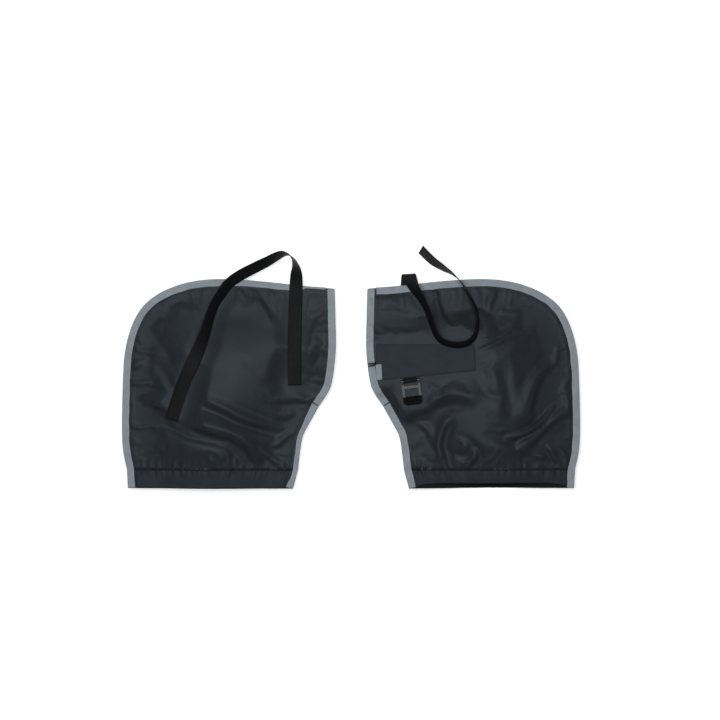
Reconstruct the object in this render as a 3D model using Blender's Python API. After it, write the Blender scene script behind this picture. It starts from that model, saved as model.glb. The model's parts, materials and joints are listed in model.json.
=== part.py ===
"""A pair of stroller hand muffs, lying flat: the left one strap side up, the right one turned over.

A muff is a fleece-lined pouch of coated cloth. Its top, its outer side and its side seam are sewn and
bound with tape. The neck edge between them stays open, so that the muff goes over a handlebar, and the
cuff at the bottom is gathered by elastic. One face carries a webbing strap. The other face has a slit
under a closing flap, and a ladder-lock buckle that takes the strap.

Lengths are in metres. A muff is worked out in its own plan, u across and v along, with h the distance
of a face's outside from the seam plane, and is then laid down at its place.
"""

import math

import bmesh
import bpy
from mathutils import Matrix, Vector
from mathutils.bvhtree import BVHTree
from mathutils.geometry import delaunay_2d_cdt, intersect_line_line_2d, intersect_point_line

# Size of one muff from binding to binding, how far apart the pair lies, and the middle of its plan's length
MUFF_WIDTH = 0.320
MUFF_LENGTH = 0.315
PAIR_SPACING = 0.367
PLAN_MIDDLE = 0.001518

# Cloth, fleece, tape and webbing, and the clearance between pieces that touch
CLOTH = 0.0006
FLEECE = 0.0016
TAPE = 0.0007
WEBBING = 0.0010
WEBBING_WIDTH = 0.020
GAP = 0.0003

# Bound edges: the lip of the tape, its clear margin, and the step up to the padded body
BINDING_LIP = 0.010
BINDING_MARGIN = 0.0005
CREASE_HEIGHT = 0.0042
CREASE_HALF_WIDTH = 0.012
CREASE_POINT_CLEAR = 0.006
BODY_STEP = 0.0035
NECK_TAPE_EASE = 0.0003

# Padded body: how far the upper and lower faces swell, how wide the swell is, and the flattened sole
CROWN_UP = 0.022
CROWN_DOWN = 0.015
CROWN_REACH = 0.120
SOLE_DEPTH = 0.014

# Cuff: the folded casing, the elastic in it, and how the upper lip draws in
CUFF_BAND = 0.028
ELASTIC = 0.0007
ELASTIC_SPARE = 0.002
CUFF_DRAW = 0.045
CUFF_DRAW_SHARE = 0.55
HEM_SETBACK = 0.009
HEM_SETBACK_POWER = 6

# Closing flap on the slit face, from the inner end of its crease to just short of the neck edge
FLAP_NECK_SETBACK = 0.0113
FLAP_DEPTH_INNER = 0.0298
FLAP_DEPTH_NECK = 0.0254
FLAP_SKEW_INNER = 0.003
FLAP_SKEW_NECK = 0.0018
FLAP_CLOTH = 0.0008
FLAP_SLOPE_DEG = 7.6
FLAP_CREASE_GAP = 0.0004
FLAP_BINDING_LIP = 0.008
FLAP_BINDING_START = 0.0016
FLAP_INNER_SHARES = (-0.005, 0.333)
FACING_DEPTH_INNER = 0.0089
FACING_DEPTH_NECK = 0.0283
FACING_SKEW_NECK = 0.0038

# Flat ground that the flap's stitching makes on the slit face: its swell at both ends, its borders, and
# the tongue of it that the buckle lies on
GROUND_UP_INNER = 0.019
GROUND_UP_NECK = 0.008
GROUND_DOWN_INNER = 0.0070
GROUND_DOWN_NECK = 0.0035
GROUND_ABOVE = 0.034
GROUND_BELOW = 0.033
GROUND_INNER = 0.010
GROUND_NECK = 0.040
GROUND_BLEND = 0.030
TONGUE_START = 0.078
TONGUE_END = 0.122
TONGUE_BELOW = 0.072

# Slit under the flap, and the hook and loop tapes that close it
SLIT_WIDTH = 0.002
SLIT_DROP = 0.0002
SLIT_CLEARANCE = 0.001
HOOK_TAPE = 0.0010
HOOK_TAPE_WIDTH = 0.012
HOOK_TAPE_DROP = 0.0035
HOOK_TAPE_INSET = 0.006

# Buckle tab and buckle, placed along the flap and below its crease
BUCKLE_ALONG = 0.1009
BAR_BELOW_CREASE = 0.0323
TAB_START = 0.0170
BAR_DIAMETER = 0.0032
BUCKLE_WIDTH = 0.028
BUCKLE_LENGTH = 0.0362
BUCKLE_SLOT_SPARE = 0.0004
RAIL_END_RADIUS = 0.0026
RAIL_TOP = 0.0022
RAIL_BOTTOM = 0.0019
CROSSBAR_START = 0.0075
CROSSBAR_WIDTH = 0.0040
CROSSBAR_DROP = 0.0010
GRIP_START = 0.0235
GRIP_TOP = 0.0049
GRIP_RIB_DEPTH = 0.0006
GRIP_RIB_PITCH = 0.0019
GRIP_RIBS = 3
GRIP_CORNER = 0.006
GRIP_FALL_SHARE = 0.7
BUCKLE_BEVEL = 0.0003
BUCKLE_EASE = 0.0005
BUCKLE_TILT_START = 10
BUCKLE_TILT_STEP = 0.25
BUCKLE_TILT_STEPS = 100

# Spacing of points along edges and inside a face
EDGE_STEP = 0.022
FILL_STEP = 0.030
FILL_CLEAR = 0.011
STRAP_STEP = 0.009
CURVE_STEPS = 12
CROWDING_SHARE = 0.25
# Stations at both ends of the cuff that lie in its bound margin
MARGIN_STATIONS = 2

# Outline of a muff seen on its strap side, as shares of half its width and half its length
TOP_AND_OUTER_SHARES = [
    (0.994, 0.924),
    (0.722, 0.943),
    (0.291, 0.990),
    (-0.066, 1.010),
    (-0.328, 0.990),
    (-0.553, 0.924),
    (-0.722, 0.829),
    (-0.834, 0.714),
    (-0.919, 0.543),
    (-0.975, 0.314),
    (-0.994, 0.048),
    (-1.003, -0.381),
    (-0.994, -0.619),
]
OUTER_CUFF_SHARE = -0.956
INNER_CUFF_SHARE = 0.647
OUTER_HEM_SHARES = (-0.947, -0.990)
INNER_HEM_SHARES = (0.600, -0.995)
SIDE_SEAM_SHARES = [
    (0.669, -0.622),
    (0.694, -0.489),
    (0.750, -0.375),
    (0.844, -0.203),
]
NECK_SHARES = [(0.844, -0.203), (0.925, -0.080), (0.969, 0.038), (1.003, 0.333), (1.000, 0.650), (0.994, 0.924)]

# Main creases of the two faces that lie uppermost: the shares of CREASE_HEIGHT and CREASE_HALF_WIDTH,
# then the course in shares as above, each place with a strength. The cloth is high on one side of the
# course, falls in the crease and rises again.
LEFT_CREASE_SHARES = [
    (
        1,
        0.92,
        [
            (-0.895, -0.173, 0),
            (-0.761, -0.195, 0.45),
            (-0.611, -0.236, 0.75),
            (-0.444, -0.335, 1),
            (-0.277, -0.416, 1),
            (-0.093, -0.473, 0.85),
            (0.040, -0.521, 0.8),
            (0.149, -0.606, 0.8),
            (0.216, -0.699, 0.6),
            (0.254, -0.792, 0),
        ],
    ),
    (
        0.40,
        0.67,
        [
            (-0.327, -0.114, 0),
            (-0.177, -0.185, 0.7),
            (-0.026, -0.243, 1),
            (0.107, -0.306, 1),
            (0.257, -0.365, 0.8),
            (0.392, -0.406, 0.5),
            (0.533, -0.450, 0),
        ],
    ),
]
RIGHT_CREASE_SHARES = [
    (
        0.90,
        1.08,
        [
            (-0.506, -0.385, 0),
            (-0.531, -0.284, 0.8),
            (-0.565, -0.165, 1),
            (-0.606, -0.046, 1),
            (-0.657, 0.056, 0.9),
            (-0.740, 0.123, 0.5),
            (-0.840, 0.149, 0),
        ],
    ),
    (
        0.81,
        1.08,
        [
            (-0.406, -0.640, 0),
            (-0.506, -0.606, 0.9),
            (-0.623, -0.504, 1),
            (-0.723, -0.402, 1),
            (-0.823, -0.335, 0.5),
            (-0.896, -0.290, 0),
        ],
    ),
    (
        0.67,
        1,
        [
            (0.646, -0.309, 0.3),
            (0.513, -0.258, 0.9),
            (0.379, -0.199, 1),
            (0.228, -0.147, 1),
            (0.095, -0.156, 0.8),
            (-0.038, -0.199, 0),
        ],
    ),
    (
        0.69,
        0.67,
        [
            (0.254, -0.776, 0),
            (0.271, -0.682, 0.8),
            (0.295, -0.572, 1),
            (0.279, -0.470, 0.9),
            (0.245, -0.385, 0.7),
            (0.203, -0.317, 0),
        ],
    ),
]

# Turns in degrees, steps of the arcs, and angles past which edges are sharp or bevelled
QUARTER = 90
HALF_TURN = 180
FULL_TURN = 360
FOLD_STEPS = 4
TAB_WRAP_DEG = 280
TAB_WRAP_STEPS = 14
RAIL_END_STEPS = 8
CORNER_STEPS = 6
BAR_SIDES = 16
SHARP_ANGLE = math.radians(35)
BEVEL_ANGLE = math.radians(50)
GAMMA = 2.2

# Worked out from the sizes above
BINDING_OUT = GAP + TAPE
FLANGE = BINDING_LIP + BINDING_MARGIN
BODY_START = FLANGE + BODY_STEP
WELD = GAP / 100
TOUCHING = GAP / 10
EDGE_HALF = GAP / 2 + CLOTH + GAP + CLOTH
STACK_HALF = GAP / 2 + FLEECE + GAP + CLOTH
ELASTIC_WIDTH = CUFF_BAND - HEM_SETBACK - 2 * ELASTIC_SPARE
SEAM_Z = SOLE_DEPTH + STACK_HALF
HALF_WIDTH = MUFF_WIDTH / 2 - BINDING_OUT
HALF_LENGTH = MUFF_LENGTH / 2 - BINDING_OUT
HOOK_LOW = GAP + HOOK_TAPE + GAP
FLAP_LOW = HOOK_LOW + HOOK_TAPE + GAP
TAB_LOW = GAP + WEBBING / 2
TAB_HIGH = TAB_LOW + WEBBING + GAP
TAB_RADIUS = BAR_DIAMETER / 2 + GAP + WEBBING / 2
BAR_HEIGHT = TAB_LOW + TAB_RADIUS

# Routes of the two straps from their sewn ends, chosen by hand: the place of the webbing's middle, then
# the direction across its width
LEFT_STRAP_ROUTE = [
    (-0.0841, -0.0015, 0.0257, 1, 0, -0.137),
    (-0.0841, 0.0165, 0.0293, 1, 0, -0.147),
    (-0.0841, 0.0345, 0.0325, 1, 0, -0.093),
    (-0.0841, 0.0505, 0.0351, 1, 0, -0.03),
    (-0.0840, 0.0625, 0.0351, 1, 0, -0.028),
    (-0.0839, 0.0745, 0.0325, 1, 0, -0.026),
    (-0.0837, 0.0885, 0.0286, 1, 0, -0.027),
    (-0.0834, 0.1085, 0.0243, 1, 0, -0.018),
    (-0.0830, 0.1285, 0.0213, 1, 0, -0.02),
    (-0.0825, 0.1415, 0.0214, 1, 0, -0.1),
    (-0.0820, 0.1545, 0.0240, 0.95, 0, -0.3),
    (-0.0820, 0.1665, 0.0264, 0.8, 0, -0.6),
    (-0.0830, 0.1775, 0.0282, 0.45, 0.1, -0.9),
    (-0.0865, 0.1870, 0.0290, 0.15, 0.1, -1),
    (-0.0930, 0.1935, 0.0290, 0, -0.05, -1),
    (-0.1015, 0.1950, 0.0280, 0.1, -0.35, -0.93),
    (-0.1105, 0.1915, 0.0268, 0.25, -0.5, -0.83),
    (-0.1260, 0.1830, 0.0258, 0.35, -0.6, -0.72),
    (-0.1440, 0.1740, 0.0258, 0.38, -0.65, -0.66),
    (-0.1665, 0.1620, 0.0268, 0.45, -0.62, -0.63),
    (-0.1830, 0.1500, 0.0284, 0.55, -0.45, -0.70),
    (-0.1950, 0.1335, 0.0300, 0.55, -0.35, -0.76),
    (-0.2040, 0.1185, 0.0318, 0.55, -0.25, -0.79),
    (-0.2105, 0.1005, 0.0355, 0.6, -0.2, -0.78),
    (-0.2160, 0.0810, 0.0399, 0.68, -0.2, -0.7),
    (-0.2215, 0.0645, 0.0423, 0.8, -0.25, -0.55),
    (-0.2280, 0.0480, 0.0430, 0.88, -0.35, -0.35),
    (-0.2360, 0.0305, 0.0412, 0.88, -0.45, -0.05),
    (-0.2445, 0.0135, 0.0388, 0.85, -0.45, 0.22),
    (-0.2550, -0.0120, 0.0362, 0.87, -0.4, 0.26),
    (-0.2662, -0.0465, 0.0352, 0.92, -0.3, 0.25),
]
RIGHT_STRAP_ROUTE = [
    (0.0841, -0.0015, 0.0093, 1, 0, -0.093),
    (0.0841, 0.0165, 0.0069, 1, 0, -0.101),
    (0.0841, 0.0345, 0.0047, 1, 0, -0.064),
    (0.0841, 0.0505, 0.0030, 1, 0, -0.021),
    (0.0840, 0.0625, 0.0030, 1, 0, -0.019),
    (0.0840, 0.0745, 0.0048, 1, 0, -0.018),
    (0.0840, 0.0885, 0.0073, 1, 0, -0.018),
    (0.0840, 0.1085, 0.0103, 1, 0, -0.012),
    (0.0842, 0.1285, 0.0124, 1, 0, -0.006),
    (0.0846, 0.1415, 0.0126, 1, 0, 0),
    (0.0850, 0.1525, 0.0126, 1, 0, 0),
    (0.0856, 0.1610, 0.0150, 1, 0, 0),
    (0.0864, 0.1645, 0.0205, 1, 0.05, 0),
    (0.0876, 0.1615, 0.0262, 0.97, 0.15, 0.1),
    (0.0905, 0.1530, 0.0290, 0.85, 0.3, 0.4),
    (0.0950, 0.1435, 0.0300, 0.65, 0.3, 0.7),
    (0.1010, 0.1345, 0.0305, 0.5, 0.25, 0.83),
    (0.1095, 0.1200, 0.0326, 0.35, 0.2, 0.9),
    (0.1160, 0.1045, 0.0374, 0.33, 0.15, 0.93),
    (0.1210, 0.0885, 0.0423, 0.3, 0.12, 0.95),
    (0.1270, 0.0735, 0.0454, 0.3, 0.2, 0.93),
    (0.1350, 0.0645, 0.0474, 0.25, 0.3, 0.92),
    (0.1470, 0.0595, 0.0490, 0.1, 0.42, 0.9),
    (0.1600, 0.0585, 0.0500, 0, 0.45, 0.89),
    (0.1720, 0.0610, 0.0500, -0.15, 0.42, 0.9),
    (0.1815, 0.0685, 0.0500, -0.3, 0.25, 0.92),
    (0.1865, 0.0810, 0.0499, -0.33, 0.1, 0.94),
    (0.1878, 0.0955, 0.0472, -0.3, 0, 0.95),
    (0.1855, 0.1125, 0.0378, -0.3, -0.05, 0.95),
    (0.1805, 0.1245, 0.0332, -0.25, -0.1, 0.96),
    (0.1745, 0.1355, 0.0316, -0.2, -0.15, 0.97),
    (0.1675, 0.1485, 0.0310, -0.1, -0.1, 0.99),
    (0.1600, 0.1575, 0.0302, -0.05, -0.05, 1),
    (0.1500, 0.1665, 0.0270, 0.05, 0.1, 0.99),
    (0.1370, 0.1750, 0.0226, 0.2, 0.3, 0.93),
    (0.1230, 0.1845, 0.0180, 0.3, 0.42, 0.85),
    (0.1130, 0.1940, 0.0142, 0.35, 0.42, 0.84),
    (0.1050, 0.2025, 0.0118, 0.4, 0.4, 0.82),
]
# The direction across rides along a route as further coordinates, scaled so that it adds no length
ACROSS_SCALE = 1e-6
# A crease's section is across * exp(-across^2), scaled so that its crest is 1
CREASE_CREST = math.sqrt(1 / 2)
CREASE_WAVE = math.sqrt(2 * math.e)

CLOTH_FINISH = ("coated_cloth", (0.165, 0.185, 0.205), 0.55, 0.0)
BAND_FINISH = ("cuff_cloth", (0.165, 0.180, 0.200), 0.60, 0.0)
FLEECE_FINISH = ("fleece", (0.060, 0.060, 0.060), 0.95, 0.0)
BINDING_FINISH = ("binding_tape", (0.545, 0.585, 0.620), 0.70, 0.0)
ELASTIC_FINISH = ("elastic", (0.850, 0.850, 0.830), 0.80, 0.0)
WEBBING_FINISH = ("webbing", (0.115, 0.118, 0.125), 0.65, 0.0)
HOOK_FINISH = ("hook_and_loop", (0.050, 0.050, 0.052), 0.90, 0.0)
BUCKLE_FINISH = ("acetal", (0.030, 0.030, 0.032), 0.28, 0.0)


def clear_scene():
    for obj in list(bpy.data.objects):
        bpy.data.objects.remove(obj, do_unlink=True)


def finish(name, colour, roughness, metallic):
    """The material of that name, made when it is first asked for."""
    found = bpy.data.materials.get(name)
    if found:
        return found
    material = bpy.data.materials.new(name)
    material.use_nodes = True
    shader = material.node_tree.nodes["Principled BSDF"]
    linear = [part**GAMMA for part in colour]
    shader.inputs["Base Color"].default_value = (*linear, 1)
    shader.inputs["Roughness"].default_value = roughness
    shader.inputs["Metallic"].default_value = metallic
    return material


def add_piece(name, vertices, faces, surface, parent=None):
    """A closed piece from its points and faces. A parent's place becomes the piece's own origin."""
    mesh = bpy.data.meshes.new(name)
    mesh.from_pydata([tuple(point) for point in vertices], [], faces)
    shape = bmesh.new()
    shape.from_mesh(mesh)
    bmesh.ops.recalc_face_normals(shape, faces=shape.faces)
    shape.to_mesh(mesh)
    shape.free()
    mesh.shade_smooth()
    mesh.set_sharp_from_angle(angle=SHARP_ANGLE)
    mesh.materials.append(finish(*surface))
    return place_mesh(name, mesh, parent)


def place_mesh(name, mesh, parent):
    obj = bpy.data.objects.new(name, mesh)
    bpy.context.scene.collection.objects.link(obj)
    obj.parent = parent
    return obj


def add_empty(name, matrix, parent=None):
    empty = bpy.data.objects.new(name, None)
    bpy.context.scene.collection.objects.link(empty)
    empty.parent = parent
    empty.matrix_local = matrix
    return empty


def smoothstep(value):
    value = min(max(value, 0), 1)
    return value * value * (3 - 2 * value)


def blend(low, high, share):
    return low + (high - low) * share


def resampled(points, step):
    """Evenly spaced points along a line of points, about a step apart."""
    lengths = [0]
    for before, after in zip(points, points[1:]):
        lengths.append(lengths[-1] + (after - before).length)
    count = max(1, round(lengths[-1] / step))
    return [point_along(points, lengths[-1] * k / count) for k in range(count + 1)]


def point_along(points, distance):
    """The point at that distance along a line of points."""
    for before, after in zip(points, points[1:]):
        length = (after - before).length
        if distance <= length:
            return before.lerp(after, distance / length)
        distance -= length
    return points[-1].copy()


def smooth_curve(points, step):
    """Evenly spaced points along a smooth curve through these points."""
    padded = [2 * points[0] - points[1], *points, 2 * points[-1] - points[-2]]
    fine = []
    for a, b, c, d in zip(padded, padded[1:], padded[2:], padded[3:]):
        for k in range(CURVE_STEPS):
            t = k / CURVE_STEPS
            bend = 2 * a - 5 * b + 4 * c - d
            twist = 3 * b - a - 3 * c + d
            fine.append((2 * b + (c - a) * t + bend * t**2 + twist * t**3) / 2)
    fine.append(points[-1])
    return resampled(fine, step)


def inward(points, k):
    """The unit normal to the left of a line of points, which is into a muff whose edge runs anticlockwise."""
    before = points[max(k - 1, 0)]
    after = points[min(k + 1, len(points) - 1)]
    along = (after - before).normalized()
    return Vector((-along.y, along.x))


def inset(points, distance):
    return [point + inward(points, k) * distance for k, point in enumerate(points)]


def distance_to(point, lines):
    """The shortest distance from a point to any of these lines of points."""
    best = math.inf
    for line in lines:
        for start, end in zip(line, line[1:]):
            near, share = intersect_point_line(point, start, end)
            near = start if share < 0 else end if share > 1 else near.to_2d()
            best = min(best, (point - near).length)
    return best


def inside(point, polygon):
    """Whether a point lies inside a closed polygon."""
    found = False
    for start, end in zip(polygon, polygon[1:] + polygon[:1]):
        if (start.y > point.y) != (end.y > point.y):
            if point.x < start.x + (end.x - start.x) * (point.y - start.y) / (end.y - start.y):
                found = not found
    return found


def with_crossings(curve, polygons):
    """The same curve with a point wherever it crosses an edge of these polygons, and none crowding it."""
    result = [curve[0]]
    crossings = []
    for start, end in zip(curve, curve[1:]):
        found = []
        for polygon in polygons:
            for first, second in zip(polygon, polygon[1:] + polygon[:1]):
                crossing = intersect_line_line_2d(start, end, first, second)
                if crossing:
                    found.append(crossing)
        result.extend(sorted(found, key=lambda crossing: (crossing - start).length))
        crossings.extend(found)
        result.append(end)
    crowded = EDGE_STEP * CROWDING_SHARE
    return [
        point
        for point in result
        if point in crossings or all((point - crossing).length > crowded for crossing in crossings)
    ]


def triangulated(loops, lines, spots):
    """A triangulation that keeps every edge of these closed loops and open lines."""
    points = []
    edges = []
    for chain in [loop + loop[:1] for loop in loops] + lines:
        first = len(points)
        points.extend(chain)
        edges.extend((k, k + 1) for k in range(first, len(points) - 1))
    points.extend(spots)
    found = delaunay_2d_cdt(points, edges, [], 0, WELD)
    return [Vector(point) for point in found[0]], [tuple(face) for face in found[2]]


def sheet_shape(triangles, top, bottom):
    """Points and faces of a closed sheet between two matching sets of points."""
    used = sorted({corner for triangle in triangles for corner in triangle})
    index = {old: new for new, old in enumerate(used)}
    count = len(used)
    vertices = [top[old] for old in used] + [bottom[old] for old in used]
    faces = []
    edges = set()
    for triangle in triangles:
        a, b, c = (index[corner] for corner in triangle)
        faces.append((a, b, c))
        faces.append((c + count, b + count, a + count))
        edges.update([(a, b), (b, c), (c, a)])
    for a, b in edges:
        if (b, a) not in edges:
            faces.append((b, a, a + count))
            faces.append((b, a + count, b + count))
    return vertices, faces


def swept_shape(rings):
    """Points and faces of a closed bar that runs through matching rings."""
    size = len(rings[0])
    vertices = [point for ring in rings for point in ring]
    faces = []
    for first in range(0, len(vertices) - size, size):
        for k in range(size):
            a = first + k
            b = first + (k + 1) % size
            faces.append((a, b, b + size))
            faces.append((a, b + size, a + size))
    faces.append(tuple(range(size)))
    faces.append(tuple(range(len(vertices) - size, len(vertices))))
    return vertices, faces


def slab_shape(corners, low, high):
    """Points and faces of a plate with this outline. low and high may differ from corner to corner."""
    count = len(corners)
    lows = low if isinstance(low, list) else [low] * count
    highs = high if isinstance(high, list) else [high] * count
    vertices = [(x, y, z) for (x, y), z in zip(corners, lows)]
    vertices += [(x, y, z) for (x, y), z in zip(corners, highs)]
    faces = [tuple(range(count)), tuple(range(count, 2 * count))]
    for a in range(count):
        b = (a + 1) % count
        faces.append((a, b, b + count))
        faces.append((a, b + count, a + count))
    return vertices, faces


def arc(centre, radii, start_deg, turned_deg, steps):
    """Points of an arc of a circle or an ellipse as pairs, from one angle and through another."""
    points = []
    for k in range(steps + 1):
        angle = math.radians(start_deg + turned_deg * k / steps)
        points.append((centre[0] + radii[0] * math.cos(angle), centre[1] + radii[1] * math.sin(angle)))
    return points


def round_arc(centre, radius, start_deg, turned_deg, steps):
    return arc(centre, (radius, radius), start_deg, turned_deg, steps)


def fold_profile(lip, half_opening):
    """Cross-section of a tape folded over an edge, as outward and height pairs."""
    outer = half_opening + TAPE
    bend = arc((0, 0), (BINDING_OUT, outer), QUARTER, -HALF_TURN, FOLD_STEPS)
    hollow = arc((0, 0), (GAP, half_opening), -QUARTER, HALF_TURN, FOLD_STEPS // 2)
    return [(-lip, outer), *bend, (-lip, -outer), (-lip, -half_opening), *hollow, (-lip, half_opening)]


def in_plan(share):
    return Vector((share[0] * HALF_WIDTH, share[1] * HALF_LENGTH))


class Plan:
    """The flat pattern that both muffs and both faces share, seen on the strap side."""

    def __init__(self):
        self.outer_hem = in_plan(OUTER_HEM_SHARES)
        self.inner_hem = in_plan(INNER_HEM_SHARES)
        outer_cuff = Vector((OUTER_CUFF_SHARE * HALF_WIDTH, self.outer_hem.y + CUFF_BAND))
        inner_cuff = Vector((INNER_CUFF_SHARE * HALF_WIDTH, self.inner_hem.y + CUFF_BAND))
        top_and_outer = [in_plan(share) for share in TOP_AND_OUTER_SHARES] + [outer_cuff]
        side_seam = [inner_cuff] + [in_plan(share) for share in SIDE_SEAM_SHARES]
        self.top_and_outer = smooth_curve(top_and_outer, EDGE_STEP)
        self.side_seam = smooth_curve(side_seam, EDGE_STEP)
        self.cuff_line = self.cuff_stations(self.top_and_outer[-1], self.side_seam[0])
        self.hem_line = self.cuff_stations(self.outer_hem, self.inner_hem)
        self.sewn = [self.top_and_outer + [self.outer_hem], [self.inner_hem] + self.side_seam]
        neck = smooth_curve([in_plan(share) for share in NECK_SHARES], EDGE_STEP)
        self.place_flap(neck)
        self.neck = with_crossings(neck, [self.slit, self.ground])

    def cuff_stations(self, start, end):
        """Points across the cuff, with the bound margin and the step at both ends."""
        length = (end - start).length
        count = round((length - 2 * BODY_START) / EDGE_STEP)
        stations = [0, FLANGE]
        for k in range(count + 1):
            stations.append(blend(BODY_START, length - BODY_START, k / count))
        stations += [length - FLANGE, length]
        return [start.lerp(end, station / length) for station in stations]

    def place_flap(self, neck):
        """The flap's frame in plan, its length, the slit under it and the flat ground around it."""
        slope = math.radians(FLAP_SLOPE_DEG)
        self.flap_root = in_plan(FLAP_INNER_SHARES)
        self.flap_along = Vector((math.cos(slope), -math.sin(slope)))
        self.flap_down = Vector((-math.sin(slope), -math.cos(slope)))
        far_end = self.flap_root + self.flap_along * MUFF_WIDTH
        crossings = [intersect_line_line_2d(self.flap_root, far_end, *pair) for pair in zip(neck, neck[1:])]
        neck_crossing = next(crossing for crossing in crossings if crossing)
        self.flap_length = (neck_crossing - self.flap_root).length - FLAP_NECK_SETBACK
        past_neck = self.flap_length + GROUND_NECK
        self.slit = self.flap_box(0, past_neck, SLIT_DROP, SLIT_DROP + SLIT_WIDTH)
        under_flap = self.flap_box(-GROUND_INNER, past_neck, -GROUND_ABOVE, GROUND_BELOW)
        under_buckle = self.flap_box(TONGUE_START, TONGUE_END, GROUND_BELOW, TONGUE_BELOW)
        self.ground = under_flap[:2] + under_buckle + under_flap[2:]

    def flap_point(self, along, down):
        return self.flap_root + self.flap_along * along + self.flap_down * down

    def flap_box(self, start, end, high, low):
        """The corners in plan of a rectangle that is given along and down the flap."""
        return [self.flap_point(*pair) for pair in [(start, high), (start, low), (end, low), (end, high)]]

    def edge(self):
        """The whole cut edge of a face above its cuff, anticlockwise."""
        return self.top_and_outer[:-1] + self.cuff_line[:-1] + self.side_seam[:-1] + self.neck[:-1]

    def sewn_line(self, distance):
        """Lines at that distance inside the sewn edges, ending on the neck edge and on the cuff line."""
        outer = inset(self.top_and_outer, distance)
        outer[0] = point_along(self.neck[::-1], distance)
        outer[-1] = self.cuff_line[0].lerp(self.cuff_line[-1], distance / self.cuff_length())
        side = inset(self.side_seam, distance)
        side[0] = self.cuff_line[-1].lerp(self.cuff_line[0], distance / self.cuff_length())
        past_seam = point_along(self.neck, distance)
        middle = self.side_seam[-1].lerp((side[-1] + past_seam) / 2, math.sqrt(2))
        return outer, side + [middle, past_seam]

    def cuff_length(self):
        return (self.cuff_line[-1] - self.cuff_line[0]).length

    def lining_foot(self):
        """The lining's corner where the neck edge begins."""
        return point_along(self.neck, BODY_START) + inward(self.neck, 1) * FLANGE

    def lining_edge(self):
        """The outline of a lining: inside the sewn bindings and the neck tapes, and down to the cuff line."""
        outer, side = self.sewn_line(BODY_START)
        clear = [
            point
            for point in inset(self.neck, FLANGE)
            if distance_to(point, self.sewn) > BODY_START + BODY_STEP
        ]
        corner = outer[0] + inward(self.neck, len(self.neck) - 1) * FLANGE
        foot = self.cuff_line[MARGIN_STATIONS:-MARGIN_STATIONS]
        return [corner, *outer[1:-1], *foot, *side[1:-1], self.lining_foot(), *clear]


class Face:
    """One face of a muff. side is 1 for the strap face and -1 for the slit face."""

    def __init__(self, muff, side):
        self.muff = muff
        self.side = side
        self.up = muff.turn * side > 0
        self.letter = "a" if side > 0 else "b"

    def height(self, point):
        """How far the outside of this face stands from the seam plane."""
        plan = self.muff.plan
        distance = distance_to(point, plan.sewn)
        if distance < (FLANGE + BODY_START) / 2:
            return EDGE_HALF
        swell = smoothstep((distance - BODY_START) / CROWN_REACH) * (CROWN_UP if self.up else CROWN_DOWN)
        if self.up:
            hem = plan.outer_hem.y
            drawn = smoothstep((point.y - hem) / (CUFF_BAND + CUFF_DRAW))
            swell *= blend(CUFF_DRAW_SHARE, 1, drawn)
        creased = self.creased(point) * smoothstep((distance - BODY_START) / BODY_START) if self.up else 0
        if self.side < 0:
            share = self.ground_share(point)
            swell = blend(swell, self.ground(point), share)
            creased *= 1 - share
        if not self.up:
            swell = min(swell, SOLE_DEPTH)
        return STACK_HALF + swell + creased

    def creased(self, point):
        """The rise or fall that the creases of this muff's upper face bring to a point of the plan."""
        total = 0
        for height, half_width, course in self.muff.creases:
            best = math.inf
            for (before, start), (after, end) in zip(course, course[1:]):
                along = after - before
                share = min(max((point - before).dot(along) / along.length_squared, 0), 1)
                away = point - before.lerp(after, share)
                if away.length < best:
                    best = away.length
                    across = math.copysign(best, self.muff.turn * along.cross(away)) / half_width
                    strength = blend(start, end, share)
            total += height * strength * CREASE_WAVE * across * math.exp(-(across**2))
        return total

    def crease_spots(self):
        """Points of the plan along the crests, the middles and the troughs of this face's creases."""
        spots = []
        if not self.up:
            return spots
        for height, half_width, course in self.muff.creases:
            middle = [place for place, strength in course[1:-1]]
            for side in (-1, 0, 1):
                spots += inset(middle, side * half_width * CREASE_CREST)
        return spots

    def ground(self, point):
        """The swell of the flat ground under the flap, which falls towards the neck."""
        along = (point - self.muff.plan.flap_root).dot(self.muff.plan.flap_along)
        inner = GROUND_UP_INNER if self.up else GROUND_DOWN_INNER
        neck = GROUND_UP_NECK if self.up else GROUND_DOWN_NECK
        return blend(inner, neck, along / self.muff.plan.flap_length)

    def ground_share(self, point):
        border = self.muff.plan.ground
        if inside(point, border):
            return 1
        distance = distance_to(point, [border + border[:1]])
        return 1 - smoothstep((distance - TOUCHING) / GROUND_BLEND)

    def world(self, point, height):
        return self.muff.world(point, self.side * height)

    def flap_frame(self):
        """A frame on the flat ground: along the crease to the neck, down to the buckle, and outwards."""
        plan = self.muff.plan
        root = self.world(plan.flap_root, self.height(plan.flap_root))
        neck_end = plan.flap_point(plan.flap_length, 0)
        along = (self.world(neck_end, self.height(neck_end)) - root).normalized()
        low_end = plan.flap_point(0, plan.flap_length)
        down = (self.world(low_end, 0) - self.world(plan.flap_root, 0)).normalized()
        frame = Matrix((along, down, along.cross(down))).transposed().to_4x4()
        frame.translation = root
        return frame


class Muff:
    """One muff of the pair. turn is 1 with the strap face up and -1 when it is turned over."""

    def __init__(self, name, centre_x, turn, plan, crease_shares):
        self.name = name
        self.creases = []
        for height_share, width_share, course in crease_shares:
            places = [(in_plan((x, y)), strength) for x, y, strength in course]
            self.creases.append((height_share * CREASE_HEIGHT, width_share * CREASE_HALF_WIDTH, places))
        self.centre_x = centre_x
        self.turn = turn
        self.plan = plan
        self.strap_face = Face(self, 1)
        self.slit_face = Face(self, -1)

    def world(self, point, level):
        """Lays a point of the plan, at a level over the seam plane, down at this muff's place."""
        return Vector((self.centre_x + self.turn * point.x, point.y - PLAN_MIDDLE, SEAM_Z + self.turn * level))

    def piece(self, name, shape, surface, parent=None):
        return add_piece(f"{self.name}_{name}", *shape, surface, parent)


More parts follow.
